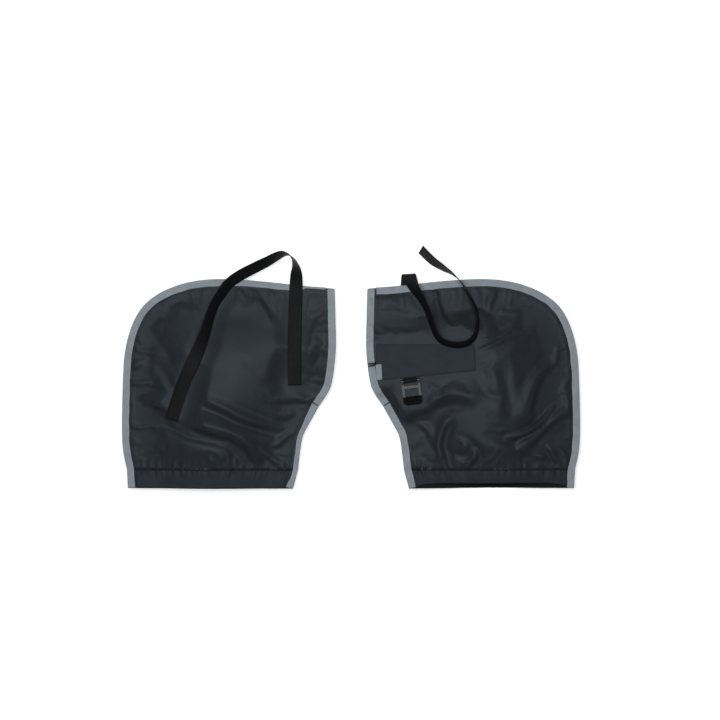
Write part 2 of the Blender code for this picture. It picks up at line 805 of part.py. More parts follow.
def face_triangles(face):
    """The triangulated pattern of a face, as points, the face's triangles and its lining's."""
    plan = face.muff.plan
    edge = plan.edge()
    lining_edge = plan.lining_edge()
    raised_outer, raised_side = plan.sewn_line(BODY_START)
    loops = [edge, lining_edge]
    lines = [*plan.sewn_line(FLANGE), [raised_outer[0], lining_edge[0]], [raised_side[-1], plan.lining_foot()]]
    if face.side < 0:
        loops += [plan.slit, plan.ground]
    creases = [spot for spot in face.crease_spots() if is_clear(spot, loops, lines, CREASE_POINT_CLEAR)]
    spots = creases + fill_points(edge, loops, lines, creases)
    points, triangles = triangulated(loops, lines, spots)
    kept = []
    lined = []
    for triangle in triangles:
        middle = sum((points[corner] for corner in triangle), Vector((0, 0))) / 3
        if not inside(middle, edge):
            continue
        if face.side < 0 and inside(middle, plan.slit):
            continue
        kept.append(triangle)
        if inside(middle, lining_edge):
            lined.append(triangle)
    return points, kept, lined


def is_clear(point, loops, lines, clearance):
    return distance_to(point, [loop + loop[:1] for loop in loops] + lines) > clearance


def fill_points(edge, loops, lines, creases):
    """An even grid of points inside a face, clear of its pattern's lines and of the creases' points."""
    columns = round(HALF_WIDTH / FILL_STEP)
    rows = round(HALF_LENGTH / FILL_STEP)
    found = []
    for row in range(-rows, rows + 1):
        for column in range(-columns, columns + 1):
            shift = (row % 2) / 2
            point = Vector(((column + shift) * FILL_STEP, row * FILL_STEP))
            crowded = any((point - spot).length < FILL_CLEAR for spot in creases)
            if not crowded and inside(point, edge) and is_clear(point, loops, lines, FILL_CLEAR):
                found.append(point)
    return found


def make_face(face):
    """The outer cloth of a face, which it returns, and the fleece behind it."""
    points, kept, lined = face_triangles(face)
    heights = [face.height(point) for point in points]

    def layer(depth):
        return [face.world(point, height - depth) for point, height in zip(points, heights)]

    muff = face.muff
    cloth = muff.piece(f"face_{face.letter}", sheet_shape(kept, layer(0), layer(CLOTH)), CLOTH_FINISH)
    behind = CLOTH + GAP
    lining = sheet_shape(lined, layer(behind), layer(behind + FLEECE))
    muff.piece(f"lining_{face.letter}", lining, FLEECE_FINISH)
    return cloth


def make_edge_binding(muff, name, path):
    """Tape folded over a sewn edge of both faces."""
    profile = fold_profile(BINDING_LIP, EDGE_HALF + GAP)
    rings = []
    for k, point in enumerate(path):
        normal = inward(path, k)
        rings.append([muff.world(point - normal * out, level) for out, level in profile])
    muff.piece(name, swept_shape(rings), BINDING_FINISH)


def make_lip_binding(face, name, start, end):
    """Tape folded over the open neck edge of one face, between two distances along that edge."""
    neck = face.muff.plan.neck
    travelled = 0
    path = [point_along(neck, start)]
    for before, after in zip(neck, neck[1:]):
        travelled += (after - before).length
        if start + GAP < travelled < end - GAP:
            path.append(after)
    path.append(point_along(neck, end))
    profile = fold_profile(BINDING_LIP, CLOTH / 2 + GAP + NECK_TAPE_EASE)
    rings = []
    for k, point in enumerate(path):
        normal = inward(path, k)
        ring = []
        for out, level in profile:
            spot = point - normal * out
            edge_height = face.height(point + normal * max(-out, 0))
            ring.append(face.world(spot, edge_height - CLOTH / 2 + level))
        rings.append(ring)
    face.muff.piece(name, swept_shape(rings), BINDING_FINISH)


def neck_marks(plan):
    """Distances along the neck edge, from the side seam: both edges of the slit, and the whole length."""
    travelled = 0
    marks = []
    for before, after in zip(plan.neck, plan.neck[1:]):
        travelled += (after - before).length
        if distance_to(after, [plan.slit + plan.slit[:1]]) < TOUCHING:
            marks.append(travelled)
    return marks[0], marks[-1], travelled


def make_bindings(muff):
    plan = muff.plan
    make_edge_binding(muff, "binding_outer", plan.sewn[0])
    make_edge_binding(muff, "binding_side", plan.sewn[1])
    slit_low, slit_high, length = neck_marks(plan)
    clear = SLIT_CLEARANCE
    make_lip_binding(muff.strap_face, "binding_neck_a", BODY_START, length - BODY_START)
    make_lip_binding(muff.slit_face, "binding_neck_b_lower", BODY_START, slit_low - clear)
    make_lip_binding(muff.slit_face, "binding_neck_b_upper", slit_high + clear, length - BODY_START)


def make_cuff(face):
    """The folded casing of one lip of the cuff, and the elastic that lies in it."""
    muff = face.muff
    seam_line = muff.plan.cuff_line
    hem_line = muff.plan.hem_line
    last = len(seam_line) - 1
    set_back = HEM_SETBACK if face.up and muff.turn < 0 else 0
    rings = []
    elastic_rings = []
    for k, (seam, hem) in enumerate(zip(seam_line, hem_line)):
        across = 2 * k / last - 1
        hem = hem.lerp(seam, (1 - across**HEM_SETBACK_POWER) * set_back / (seam - hem).length)
        down = (hem - seam).normalized()
        padded = MARGIN_STATIONS <= k <= last - MARGIN_STATIONS
        depth = CLOTH + GAP + FLEECE if padded else 2 * CLOTH + GAP
        radius = depth / 2
        leaf = (hem - seam).length - radius
        places = [GAP, leaf / 2, leaf]
        heights = [face.height(seam + down * place) for place in places]

        def at(place, height):
            return face.world(seam + down * place, height)

        leaf_end = heights[-1]
        spots = list(zip(places, heights))
        centre = (leaf, leaf_end - radius)
        fold = round_arc(centre, radius, QUARTER, -HALF_TURN, FOLD_STEPS)[1:-1]
        hollow = round_arc(centre, radius - CLOTH, -QUARTER, HALF_TURN, FOLD_STEPS)[1:-1]
        ring = [at(place, height) for place, height in spots + fold]
        ring += [at(place, height - depth) for place, height in reversed(spots)]
        ring += [at(place, height - depth + CLOTH) for place, height in spots]
        ring += [at(place, height) for place, height in hollow]
        ring += [at(place, height - CLOTH) for place, height in reversed(spots)]
        rings.append(ring)
        if padded:
            start = (leaf - ELASTIC_WIDTH) / 2
            spots = [start, leaf / 2, start + ELASTIC_WIDTH]
            tops = []
            for spot in spots:
                share = (spot - places[0]) / (places[1] - places[0])
                first = 0
                if share > 1:
                    share = (spot - places[1]) / (places[2] - places[1])
                    first = 1
                tops.append(blend(heights[first], heights[first + 1], share) - CLOTH - GAP)
            upper = [at(spot, top) for spot, top in zip(spots, tops)]
            lower = [at(spot, top - ELASTIC) for spot, top in zip(spots, tops)]
            elastic_rings.append(upper + lower[::-1])
    muff.piece(f"cuff_band_{face.letter}", swept_shape(rings), BAND_FINISH)
    muff.piece(f"elastic_{face.letter}", swept_shape(elastic_rings), ELASTIC_FINISH)


def webbing_shape(spots, width):
    """Webbing through these spots, each a middle, a direction across and a direction out of its flat side."""
    rings = []
    for middle, across, out in spots:
        side = across * width / 2
        rise = out * WEBBING / 2
        rings.append([middle - side + rise, middle + side + rise, middle + side - rise, middle - side - rise])
    return swept_shape(rings)


def make_flap(muff):
    """The closing flap over the slit, its sewn facing, its end tape and its hook and loop tapes."""
    length = muff.plan.flap_length
    frame = muff.slit_face.flap_frame()
    seat = add_empty(f"{muff.name}_flap_seat", frame)
    axis_height = FLAP_LOW + FLAP_CLOTH / 2
    hinge = add_empty(f"{muff.name}_flap_hinge", Matrix.Translation((0, 0, axis_height)), seat)

    facing = [
        (0, -2 * FLAP_CREASE_GAP),
        (length, -2 * FLAP_CREASE_GAP),
        (length - FACING_SKEW_NECK, -FACING_DEPTH_NECK),
        (0, -FACING_DEPTH_INNER),
    ]
    lows = [FLAP_LOW, FLAP_LOW, GAP, GAP]
    highs = [low + FLAP_CLOTH for low in lows]
    muff.piece("flap_facing", slab_shape(facing, lows, highs), CLOTH_FINISH, seat)

    flap = [
        (0, FLAP_CREASE_GAP),
        (length, FLAP_CREASE_GAP),
        (length + FLAP_SKEW_NECK, FLAP_DEPTH_NECK),
        (FLAP_SKEW_INNER, FLAP_DEPTH_INNER),
    ]
    half = FLAP_CLOTH / 2
    muff.piece("flap", slab_shape(flap, -half, half), CLOTH_FINISH, hinge)

    crease_end, free_end = (Vector(corner) for corner in flap[1:3])
    rings = []
    for x, y in (crease_end.lerp(free_end, FLAP_BINDING_START / FLAP_DEPTH_NECK), free_end):
        rings.append([Vector((x + out, y, level)) for out, level in fold_profile(FLAP_BINDING_LIP, half + GAP)])
    muff.piece("flap_binding", swept_shape(rings), BINDING_FINISH, hinge)

    start = HOOK_TAPE_INSET
    end = length - FLAP_BINDING_LIP - HOOK_TAPE_INSET
    top = HOOK_TAPE_DROP
    bottom = HOOK_TAPE_DROP + HOOK_TAPE_WIDTH
    tape = [(start, top), (end, top), (end, bottom), (start, bottom)]
    muff.piece("loop_tape", slab_shape(tape, GAP, GAP + HOOK_TAPE), HOOK_FINISH, seat)
    low = HOOK_LOW - axis_height
    muff.piece("hook_tape", slab_shape(tape, low, low + HOOK_TAPE), HOOK_FINISH, hinge)
    return seat


def make_buckle_tab(muff, seat):
    """Webbing folded round the buckle's bar, with both ends sewn to the face under the flap."""
    wrap = round_arc((BAR_BELOW_CREASE, BAR_HEIGHT), TAB_RADIUS, -QUARTER, TAB_WRAP_DEG, TAB_WRAP_STEPS)
    neck = BAR_BELOW_CREASE - TAB_RADIUS - WEBBING
    path = [(TAB_START, TAB_LOW), *wrap, (neck, TAB_HIGH), (TAB_START, TAB_HIGH)]
    across = Vector((1, 0, 0))
    spots = []
    for k, (down, height) in enumerate(path):
        before = Vector(path[max(k - 1, 0)])
        after = Vector(path[min(k + 1, len(path) - 1)])
        along = (after - before).normalized()
        out = Vector((0, along.y, -along.x))
        spots.append((Vector((BUCKLE_ALONG, down, height)), across, out))
    muff.piece("buckle_tab", webbing_shape(spots, WEBBING_WIDTH), WEBBING_FINISH, seat)


def buckle_profile():
    """Side outline of the buckle: a rounded rail end, straight rails and a raised ribbed grip."""
    end = round_arc((0, 0), RAIL_END_RADIUS, -QUARTER, -HALF_TURN, RAIL_END_STEPS)
    ribs = []
    first = GRIP_START + GRIP_TOP - RAIL_TOP
    for k in range(GRIP_RIBS):
        start = first + k * GRIP_RIB_PITCH
        ribs.append((start, GRIP_TOP))
        ribs.append((start + GRIP_RIB_PITCH / 2, GRIP_TOP - GRIP_RIB_DEPTH))
    last = first + GRIP_RIBS * GRIP_RIB_PITCH
    crest = (last, GRIP_TOP)
    fall = (blend(last, BUCKLE_LENGTH, GRIP_FALL_SHARE), GRIP_TOP / 2)
    tip = [(BUCKLE_LENGTH, RAIL_END_RADIUS / 4), (BUCKLE_LENGTH - RAIL_BOTTOM / 2, -RAIL_END_RADIUS / 4)]
    top = [(2 * RAIL_END_RADIUS, RAIL_TOP), (GRIP_START, RAIL_TOP), *ribs, crest, fall]
    bottom = [(GRIP_START, -RAIL_BOTTOM), (2 * RAIL_END_RADIUS, -RAIL_BOTTOM)]
    return end + top + tip + bottom


def make_buckle_mesh():
    """The ladder-lock buckle about its webbing bar, cut from one profiled block."""
    half = BUCKLE_WIDTH / 2
    block = swept_shape([[Vector((x, y, z)) for y, z in buckle_profile()] for x in (-half, half)])
    body = add_piece("buckle_block", *block, BUCKLE_FINISH)
    slot_half = WEBBING_WIDTH / 2 + BUCKLE_SLOT_SPARE
    over = BUCKLE_WIDTH
    crossbar_end = CROSSBAR_START + CROSSBAR_WIDTH
    cutters = []
    for start, end, low in (
        (-over, CROSSBAR_START, -over),
        (crossbar_end, GRIP_START, -over),
        (CROSSBAR_START - GAP, crossbar_end + GAP, RAIL_TOP - CROSSBAR_DROP),
    ):
        corners = [(-slot_half, start), (slot_half, start), (slot_half, end), (-slot_half, end)]
        cutters.append(add_piece("slot", *slab_shape(corners, low, over), BUCKLE_FINISH))
    corner = GRIP_CORNER
    rounded = [(half, -over), (half, BUCKLE_LENGTH - corner)]
    rounded += round_arc((half - corner, BUCKLE_LENGTH - corner), corner, 0, QUARTER, CORNER_STEPS)[1:]
    rounded += [(-x, y) for x, y in reversed(rounded)]
    outline = add_piece("outline", *slab_shape(rounded, -over, over), BUCKLE_FINISH)
    around = FULL_TURN - FULL_TURN / BAR_SIDES
    circle = round_arc((0, 0), BAR_DIAMETER / 2, 0, around, BAR_SIDES - 1)
    bar_rings = [[Vector((x, y, z)) for y, z in circle] for x in (-slot_half - GAP, slot_half + GAP)]
    bar = add_piece("bar", *swept_shape(bar_rings), BUCKLE_FINISH)
    steps = [(cutter, "DIFFERENCE") for cutter in cutters]
    steps += [(outline, "INTERSECT"), (bar, "UNION")]
    for other, operation in steps:
        modifier = body.modifiers.new(operation, "BOOLEAN")
        modifier.operation = operation
        modifier.object = other
    bevel = body.modifiers.new("edges", "BEVEL")
    bevel.width = BUCKLE_BEVEL
    bevel.segments = 1
    bevel.limit_method = "ANGLE"
    bevel.angle_limit = BEVEL_ANGLE
    graph = bpy.context.evaluated_depsgraph_get()
    mesh = bpy.data.meshes.new_from_object(body.evaluated_get(graph))
    mesh.name = "buckle"
    for obj in [body, outline, bar, *cutters]:
        bpy.data.objects.remove(obj, do_unlink=True)
    return mesh


def make_buckle(muff, seat, mesh, cloth):
    """The buckle on its bar, tilted down until it lies just clear of the face."""
    bpy.context.view_layer.update()
    tree = BVHTree.FromObject(cloth, bpy.context.evaluated_depsgraph_get())
    bar = Matrix.Translation((BUCKLE_ALONG, BAR_BELOW_CREASE, BAR_HEIGHT))
    tilt = BUCKLE_TILT_START
    for step in range(BUCKLE_TILT_STEPS):
        tried = tilt - BUCKLE_TILT_STEP
        turned = seat.matrix_world @ bar @ Matrix.Rotation(math.radians(tried), 4, "X")
        if any(tree.find_nearest(turned @ corner.co)[3] < BUCKLE_EASE for corner in mesh.vertices):
            break
        tilt = tried
    place = bar @ Matrix.Rotation(math.radians(tilt), 4, "X")
    pivot = add_empty(f"{muff.name}_buckle_pivot", place, seat)
    place_mesh(f"{muff.name}_buckle", mesh, pivot)


def make_strap(muff, route):
    """The webbing strap, from its sewn end along its route."""
    stops = []
    for x, y, z, *across in route:
        stops.append(Vector((x, y, z, *(Vector(across).normalized() * ACROSS_SCALE))))
    path = smooth_curve(stops, STRAP_STEP)
    spots = []
    for k, stop in enumerate(path):
        before = path[max(k - 1, 0)]
        after = path[min(k + 1, len(path) - 1)]
        along = (Vector(after[:3]) - Vector(before[:3])).normalized()
        across = Vector(stop[3:]) / ACROSS_SCALE
        across = (across - along * across.dot(along)).normalized()
        spots.append((Vector(stop[:3]), across, across.cross(along)))
    muff.piece("strap", webbing_shape(spots, WEBBING_WIDTH), WEBBING_FINISH)


def make_muff(muff, route, buckle_mesh):
    make_face(muff.strap_face)
    slit_cloth = make_face(muff.slit_face)
    make_bindings(muff)
    make_cuff(muff.strap_face)
    make_cuff(muff.slit_face)
    seat = make_flap(muff)
    make_buckle_tab(muff, seat)
    make_buckle(muff, seat, buckle_mesh, slit_cloth)
    make_strap(muff, route)


def main():
    clear_scene()
    plan = Plan()
    buckle_mesh = make_buckle_mesh()
    left = Muff("left", -PAIR_SPACING / 2, 1, plan, LEFT_CREASE_SHARES)
    right = Muff("right", PAIR_SPACING / 2, -1, plan, RIGHT_CREASE_SHARES)
    make_muff(left, LEFT_STRAP_ROUTE, buckle_mesh)
    make_muff(right, RIGHT_STRAP_ROUTE, buckle_mesh)


main()
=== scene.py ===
"""A pair of stroller hand muffs lying on a pale table, seen from straight above.

The left muff lies strap side up. The right one is the same muff turned over, so it shows its closing flap
and buckle. Each section makes one piece, or a group of like pieces, in the order in which a muff is put
together. Lengths are in metres, in the frame of the CAD model.
"""

import json
import math

import bmesh
import bpy
import numpy as np
from mathutils import Matrix, Vector
from mathutils.bvhtree import BVHTree
from mathutils.geometry import delaunay_2d_cdt

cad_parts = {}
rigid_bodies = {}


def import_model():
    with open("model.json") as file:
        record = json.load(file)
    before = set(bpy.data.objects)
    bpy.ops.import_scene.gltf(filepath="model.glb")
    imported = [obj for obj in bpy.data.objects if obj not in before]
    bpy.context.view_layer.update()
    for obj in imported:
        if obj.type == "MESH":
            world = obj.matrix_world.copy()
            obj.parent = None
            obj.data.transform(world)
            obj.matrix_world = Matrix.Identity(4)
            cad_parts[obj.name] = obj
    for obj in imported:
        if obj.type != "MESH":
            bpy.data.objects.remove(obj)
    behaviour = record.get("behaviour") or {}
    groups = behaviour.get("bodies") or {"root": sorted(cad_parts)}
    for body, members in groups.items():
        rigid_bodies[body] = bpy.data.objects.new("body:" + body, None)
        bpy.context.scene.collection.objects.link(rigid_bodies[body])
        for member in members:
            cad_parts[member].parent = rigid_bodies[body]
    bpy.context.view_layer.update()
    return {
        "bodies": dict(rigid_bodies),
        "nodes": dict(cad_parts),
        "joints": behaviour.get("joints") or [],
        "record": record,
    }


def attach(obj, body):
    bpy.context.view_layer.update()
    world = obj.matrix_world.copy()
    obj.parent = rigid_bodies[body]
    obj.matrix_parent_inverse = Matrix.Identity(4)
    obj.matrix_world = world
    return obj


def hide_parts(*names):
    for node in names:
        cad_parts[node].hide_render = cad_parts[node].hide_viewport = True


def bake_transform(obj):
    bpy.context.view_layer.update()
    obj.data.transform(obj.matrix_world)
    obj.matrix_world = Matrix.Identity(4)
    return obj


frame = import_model()
cad = frame["nodes"]


# Camera. It looks straight down on the pair, with the cuffs towards the bottom of the picture. The view
# spans 1.08 m at the height of the cloth, and the lens is long, so the muffs' sides hardly show.
VIEW_MIDDLE = (0.0135, 0.0360)
VIEW_SPAN = 1.08
VIEW_LEVEL = 0.020
LENS_MM = 85
SENSOR_MM = 36

lens = bpy.data.cameras.new("camera")
lens.lens = LENS_MM
lens.sensor_width = SENSOR_MM
camera = bpy.data.objects.new("camera", lens)
bpy.context.scene.collection.objects.link(camera)
camera.location = (*VIEW_MIDDLE, VIEW_LEVEL + VIEW_SPAN * LENS_MM / SENSOR_MM)
bpy.context.scene.camera = camera
bpy.context.scene.view_settings.view_transform = "Standard"


# Straps. Each is one length of 20 mm polypropylene webbing, sewn flat to the strap side of its muff and free
# beyond that. The webbing is woven with cross ribs and is stiff, so it stands in wide curves, often on edge.
WEBBING_WIDTH = 0.0200
WEBBING_THICK = 0.0013
WEBBING_STEP = 0.0020
# Tenths of a millimetre in a metre. Each point of a route has the place of the webbing's middle, in tenths of a
# millimetre, and then the direction across it.
TENTHS = 10000
STRAP_ROUTES = {
    "left": [
        (-841, -15, 257, 1, 0, -0.137), (-841, 165, 293, 1, 0, -0.147), (-841, 345, 325, 1, 0, -0.093),
        (-841, 505, 351, 1, 0, -0.03), (-840, 625, 351, 1, 0, -0.028), (-839, 745, 325, 1, 0, -0.026),
        (-837, 885, 286, 1, 0, -0.027), (-834, 1085, 243, 1, 0, -0.018), (-830, 1285, 213, 1, 0, -0.02),
        (-825, 1415, 214, 1, 0, -0.1), (-820, 1545, 240, 0.95, 0, -0.3), (-820, 1665, 264, 0.8, 0, -0.6),
        (-830, 1775, 282, 0.45, 0.1, -0.9), (-865, 1870, 290, 0.15, 0.1, -1), (-930, 1935, 290, 0, -0.05, -1),
        (-1015, 1950, 280, 0.1, -0.35, -0.93), (-1105, 1915, 268, 0.25, -0.5, -0.83),
        (-1260, 1830, 258, 0.35, -0.6, -0.72), (-1440, 1740, 258, 0.38, -0.65, -0.66),
        (-1665, 1620, 268, 0.45, -0.62, -0.63), (-1830, 1500, 284, 0.55, -0.45, -0.7),
        (-1950, 1335, 300, 0.55, -0.35, -0.76), (-2040, 1185, 318, 0.55, -0.25, -0.79),
        (-2105, 1005, 355, 0.6, -0.2, -0.78), (-2160, 810, 399, 0.68, -0.2, -0.7),
        (-2215, 645, 423, 0.8, -0.25, -0.55), (-2280, 480, 430, 0.88, -0.35, -0.35),
        (-2360, 305, 412, 0.88, -0.45, -0.05), (-2445, 135, 388, 0.85, -0.45, 0.22),
        (-2550, -120, 362, 0.87, -0.4, 0.26), (-2683, -530, 350, 0.92, -0.3, 0.25),
    ],
    "right": [
        (841, -15, 93, 1, 0, -0.093), (841, 165, 69, 1, 0, -0.101), (841, 345, 47, 1, 0, -0.064),
        (841, 505, 30, 1, 0, -0.021), (840, 625, 30, 1, 0, -0.019), (840, 745, 48, 1, 0, -0.018),
        (840, 885, 73, 1, 0, -0.018), (840, 1085, 103, 1, 0, -0.012), (842, 1285, 124, 1, 0, -0.006),
        (846, 1415, 126, 1, 0, 0), (850, 1525, 126, 1, 0, 0), (856, 1610, 150, 1, 0, 0),
        (864, 1645, 205, 1, 0.05, 0), (876, 1615, 262, 0.97, 0.15, 0.1), (905, 1530, 290, 0.85, 0.3, 0.4),
        (950, 1435, 300, 0.65, 0.3, 0.7), (1010, 1345, 305, 0.5, 0.25, 0.83), (1095, 1200, 326, 0.35, 0.2, 0.9),
        (1160, 1045, 374, 0.33, 0.15, 0.93), (1210, 885, 423, 0.3, 0.12, 0.95), (1270, 735, 454, 0.3, 0.2, 0.93),
        (1350, 645, 474, 0.25, 0.3, 0.92), (1470, 595, 490, 0.1, 0.42, 0.9), (1600, 585, 500, 0, 0.45, 0.89),
        (1720, 610, 500, -0.15, 0.42, 0.9), (1815, 685, 500, -0.3, 0.25, 0.92), (1865, 810, 499, -0.33, 0.1, 0.94),
        (1878, 955, 472, -0.3, 0, 0.95), (1855, 1125, 378, -0.3, -0.05, 0.95),
        (1805, 1245, 332, -0.25, -0.1, 0.96), (1745, 1355, 316, -0.2, -0.15, 0.97),
        (1675, 1485, 310, -0.1, -0.1, 0.99), (1600, 1575, 302, -0.05, -0.05, 1),
        (1500, 1665, 270, 0.05, 0.1, 0.99), (1370, 1750, 226, 0.2, 0.3, 0.93), (1230, 1845, 180, 0.3, 0.42, 0.85),
        (1130, 1940, 142, 0.35, 0.42, 0.84), (1050, 2025, 118, 0.4, 0.4, 0.82),
    ],
}


def smooth_line(points, step):
    """A smooth curve through these points, as an array of points about a step apart."""
    points = np.asarray(points, float)
    padded = np.vstack([2 * points[0] - points[1], points, 2 * points[-1] - points[-2]])
    shares = np.linspace(0, 1, 24, endpoint=False)[:, None]
    fine = []
    for a, b, c, d in zip(padded, padded[1:], padded[2:], padded[3:]):
        bend = 2 * a - 5 * b + 4 * c - d
        twist = 3 * b - a - 3 * c + d
        fine.append((2 * b + (c - a) * shares + bend * shares**2 + twist * shares**3) / 2)
    return respaced(np.vstack([*fine, points[-1:]]), step)


def travel(line):
    """How far along a line each of its points is."""
    return np.concatenate([[0], np.cumsum(np.linalg.norm(np.diff(line, axis=0), axis=1))])


def at_stations(points, travelled, stations):
    """The points of a line at these distances along it."""
    return np.column_stack([np.interp(stations, travelled, column) for column in points.T])


def respaced(points, step):
    """The same line with its points evenly spaced. Only the place in space counts as length."""
    travelled = travel(points[:, :3])
    stations = np.linspace(0, travelled[-1], max(2, round(travelled[-1] / step) + 1))
    return at_stations(points, travelled, stations)


def strap_line(muff, step):
    """The smooth middle of a strap, with the direction across it."""
    route = np.array(STRAP_ROUTES[muff], float)
    route[:, :3] /= TENTHS
    route[:, 3:] /= np.linalg.norm(route[:, 3:], axis=1)[:, None]
    return smooth_line(route, step)


def linear(code):
    """A linear colour from its sRGB hex value."""
    parts = [int(code[k : k + 2], 16) / 255 for k in (0, 2, 4)]
    return (*[part / 12.92 if part <= 0.04045 else ((part + 0.055) / 1.055) ** 2.4 for part in parts], 1)


def node(tree, kind, settings=None, links=None):
    """Adds a node, sets its properties and inputs by name, and links outputs into its inputs."""
    made = tree.nodes.new(kind)
    for key, value in (settings or {}).items():
        if isinstance(key, str) and hasattr(made, key):
            setattr(made, key, value)
        else:
            made.inputs[key].default_value = value
    for key, output in (links or {}).items():
        tree.links.new(output, made.inputs[key])
    return made


def new_material(name, roughness, settings):
    """A material with its Principled shader, and the shader's own constants set on its sockets."""
    material = bpy.data.materials.new(name)
    material.use_nodes = True
    shader = material.node_tree.nodes["Principled BSDF"]
    shader.inputs["Roughness"].default_value = roughness
    for key, value in settings.items():
        shader.inputs[key].default_value = value
    return material, material.node_tree, shader


def wave(tree, coordinate, period):
    """Rounded ridges, 0 to 1, with this period in metres along a coordinate."""
    scaled = node(tree, "ShaderNodeMath", {"operation": "MULTIPLY", 1: 2 * math.pi / period}, {0: coordinate})
    sine = node(tree, "ShaderNodeMath", {"operation": "SINE"}, {0: scaled.outputs[0]})
    ridges = node(tree, "ShaderNodeMath", {"operation": "MULTIPLY_ADD", 1: 0.5, 2: 0.5}, {0: sine.outputs[0]})
    return ridges.outputs[0]


def surfaced(tree, shader, level, tones, height, strength, depth):
    """Gives a shader its colour, between two tones by a level, and its relief by a height."""
    dark, light = map(linear, tones)
    tone = node(tree, "ShaderNodeMix", {"data_type": "RGBA", 6: dark, 7: light}, {0: level})
    tree.links.new(tone.outputs[2], shader.inputs["Base Color"])
    bump = node(tree, "ShaderNodeBump", {"Strength": strength, "Distance": depth}, {"Height": height})
    tree.links.new(bump.outputs[0], shader.inputs["Normal"])


def tape_place(tree):
    """Where on a tape a point is: metres across it and metres along it."""
    place = node(tree, "ShaderNodeUVMap", {"uv_map": "weave"})
    return node(tree, "ShaderNodeSeparateXYZ", {}, {0: place.outputs[0]}).outputs


def webbing_material():
    """Woven polypropylene webbing. Flat filament yarn packed into cross ribs gives a dull black with a
    fine ladder of sheen, painted into the colour as lighter ribs over a random mottle, and a thicker cord runs
    along both edges."""
    material, tree, shader = new_material("woven_polypropylene", 0.55, {"Specular IOR Level": 0.14})
    across, along, _ = tape_place(tree)
    ribs = wave(tree, along, 0.0016)
    yarns = wave(tree, across, 0.0011)
    weave = node(tree, "ShaderNodeMath", {"operation": "MULTIPLY_ADD", 1: 0.35}, {0: yarns, 2: ribs})
    spread = node(tree, "ShaderNodeTexCoord")
    mottle = node(tree, "ShaderNodeTexNoise", {"Scale": 160, "Detail": 3}, {0: spread.outputs["Object"]})
    # The weave is painted into the colour, lighter on the ribs and yarns as a painted sheen, over the yarn's random
    # mottle
    level = node(tree, "ShaderNodeMath", {"operation": "MULTIPLY"}, {0: weave.outputs[0], 1: mottle.outputs[0]})
    surfaced(tree, shader, level.outputs[0], ("070708", "151617"), weave.outputs[0], 0.6, 0.0004)
    return material


def mesh_object(name, points, faces, material, smooth=True):
    """A mesh object at the origin, with its place in its points."""
    mesh = bpy.data.meshes.new(name)
    mesh.from_pydata([tuple(point) for point in points], [], [tuple(face) for face in faces])
    mesh.validate()
    mesh.materials.append(material)
    if smooth:
        mesh.shade_smooth()
    obj = bpy.data.objects.new(name, mesh)
    bpy.context.scene.collection.objects.link(obj)
    return obj


def face_outwards(obj):
    shape = bmesh.new()
    shape.from_mesh(obj.data)
    bmesh.ops.recalc_face_normals(shape, faces=shape.faces)
    shape.to_mesh(obj.data)
    shape.free()


def swept(name, rings, across, along, material):
    """A closed bar through matching rings. Its UV map gives metres across and metres along."""
    count, size = len(rings), len(rings[0])
    points = np.vstack(rings)
    faces = []
    for first in range(0, (count - 1) * size, size):
        for k in range(size):
            other = (k + 1) % size
            faces.append((first + k, first + other, first + other + size, first + k + size))
    faces.append(tuple(range(size)))
    faces.append(tuple(range(len(points) - 1, len(points) - size - 1, -1)))
    obj = mesh_object(name, points, faces, material)
    layer = obj.data.uv_layers.new(name="weave")
    for k, loop in enumerate(obj.data.loops):
        corner = loop.vertex_index
        layer.data[k].uv = (across[corner % size], along[corner // size])
    face_outwards(obj)
    return obj


def ribbon(name, middles, across, width, thick, material):
    """Webbing or tape with rounded edges along a line of middles."""
    along = np.gradient(middles, axis=0)
    along /= np.linalg.norm(along, axis=1)[:, None]
    across = across - along * (across * along).sum(1)[:, None]
    across /= np.linalg.norm(across, axis=1)[:, None]
    out = np.cross(across, along)
    section = [(0.5, 0), (0.49, 0.35), (0.45, 0.5), (0.2, 0.5), (-0.2, 0.5), (-0.45, 0.5), (-0.49, 0.35)]
    section += [(-x, -y) for x, y in section]
    rings = []
    for middle, side, up in zip(middles, across, out):
        rings.append([middle + side * x * width + up * y * thick for x, y in section])
    return swept(name, rings, [x * width for x, _ in section], travel(middles), material)


woven_webbing = webbing_material()
straps = {}
for muff in STRAP_ROUTES:
    line = strap_line(muff, WEBBING_STEP)
    strap = ribbon(f"{muff}_webbing_strap", line[:, :3], line[:, 3:], WEBBING_WIDTH, WEBBING_THICK, woven_webbing)
    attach(strap, "shells")
    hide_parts(f"{muff}_strap")
    straps[muff] = strap


# Ground and light. The pair lies on a pale, matt table top. A large soft lamp hangs over it, a little towards
# the muffs' top edges and the left, so the creases' other sides go dark, and weak daylight comes from all round.
KEY_PLACE = (-0.14, 0.24, 1.90)
KEY_SIZE = 1.3
KEY_POWER = 33
SKY_STRENGTH = 0.19
FLOOR_HALF = 6
FLOOR_GLOW = 0.42

floor_finish = bpy.data.materials.new("pale_table_top")
floor_finish.use_nodes = True
tree = floor_finish.node_tree
tree.nodes.clear()
ends = node(tree, "ShaderNodeOutputMaterial")
matt = node(tree, "ShaderNodeBsdfDiffuse", {"Color": linear("f2f2f2")})
lit = node(tree, "ShaderNodeEmission")
path = node(tree, "ShaderNodeLightPath")
seen = node(
    tree,
    "ShaderNodeMath",
    {"operation": "MAXIMUM"},
    {0: path.outputs["Is Camera Ray"], 1: path.outputs["Is Glossy Ray"]},
)
shown = node(tree, "ShaderNodeMath", {"operation": "MULTIPLY", 1: FLOOR_GLOW}, {0: seen.outputs[0]})
tree.links.new(shown.outputs[0], lit.inputs["Strength"])
both = node(tree, "ShaderNodeAddShader", {}, {0: matt.outputs[0], 1: lit.outputs[0]})
tree.links.new(both.outputs[0], ends.inputs["Surface"])
floor = mesh_object(
    "table_top",
    [(x * FLOOR_HALF, y * FLOOR_HALF, 0) for x, y in ((-1, -1), (1, -1), (1, 1), (-1, 1))],
    [(0, 1, 2, 3)],
    floor_finish,
)

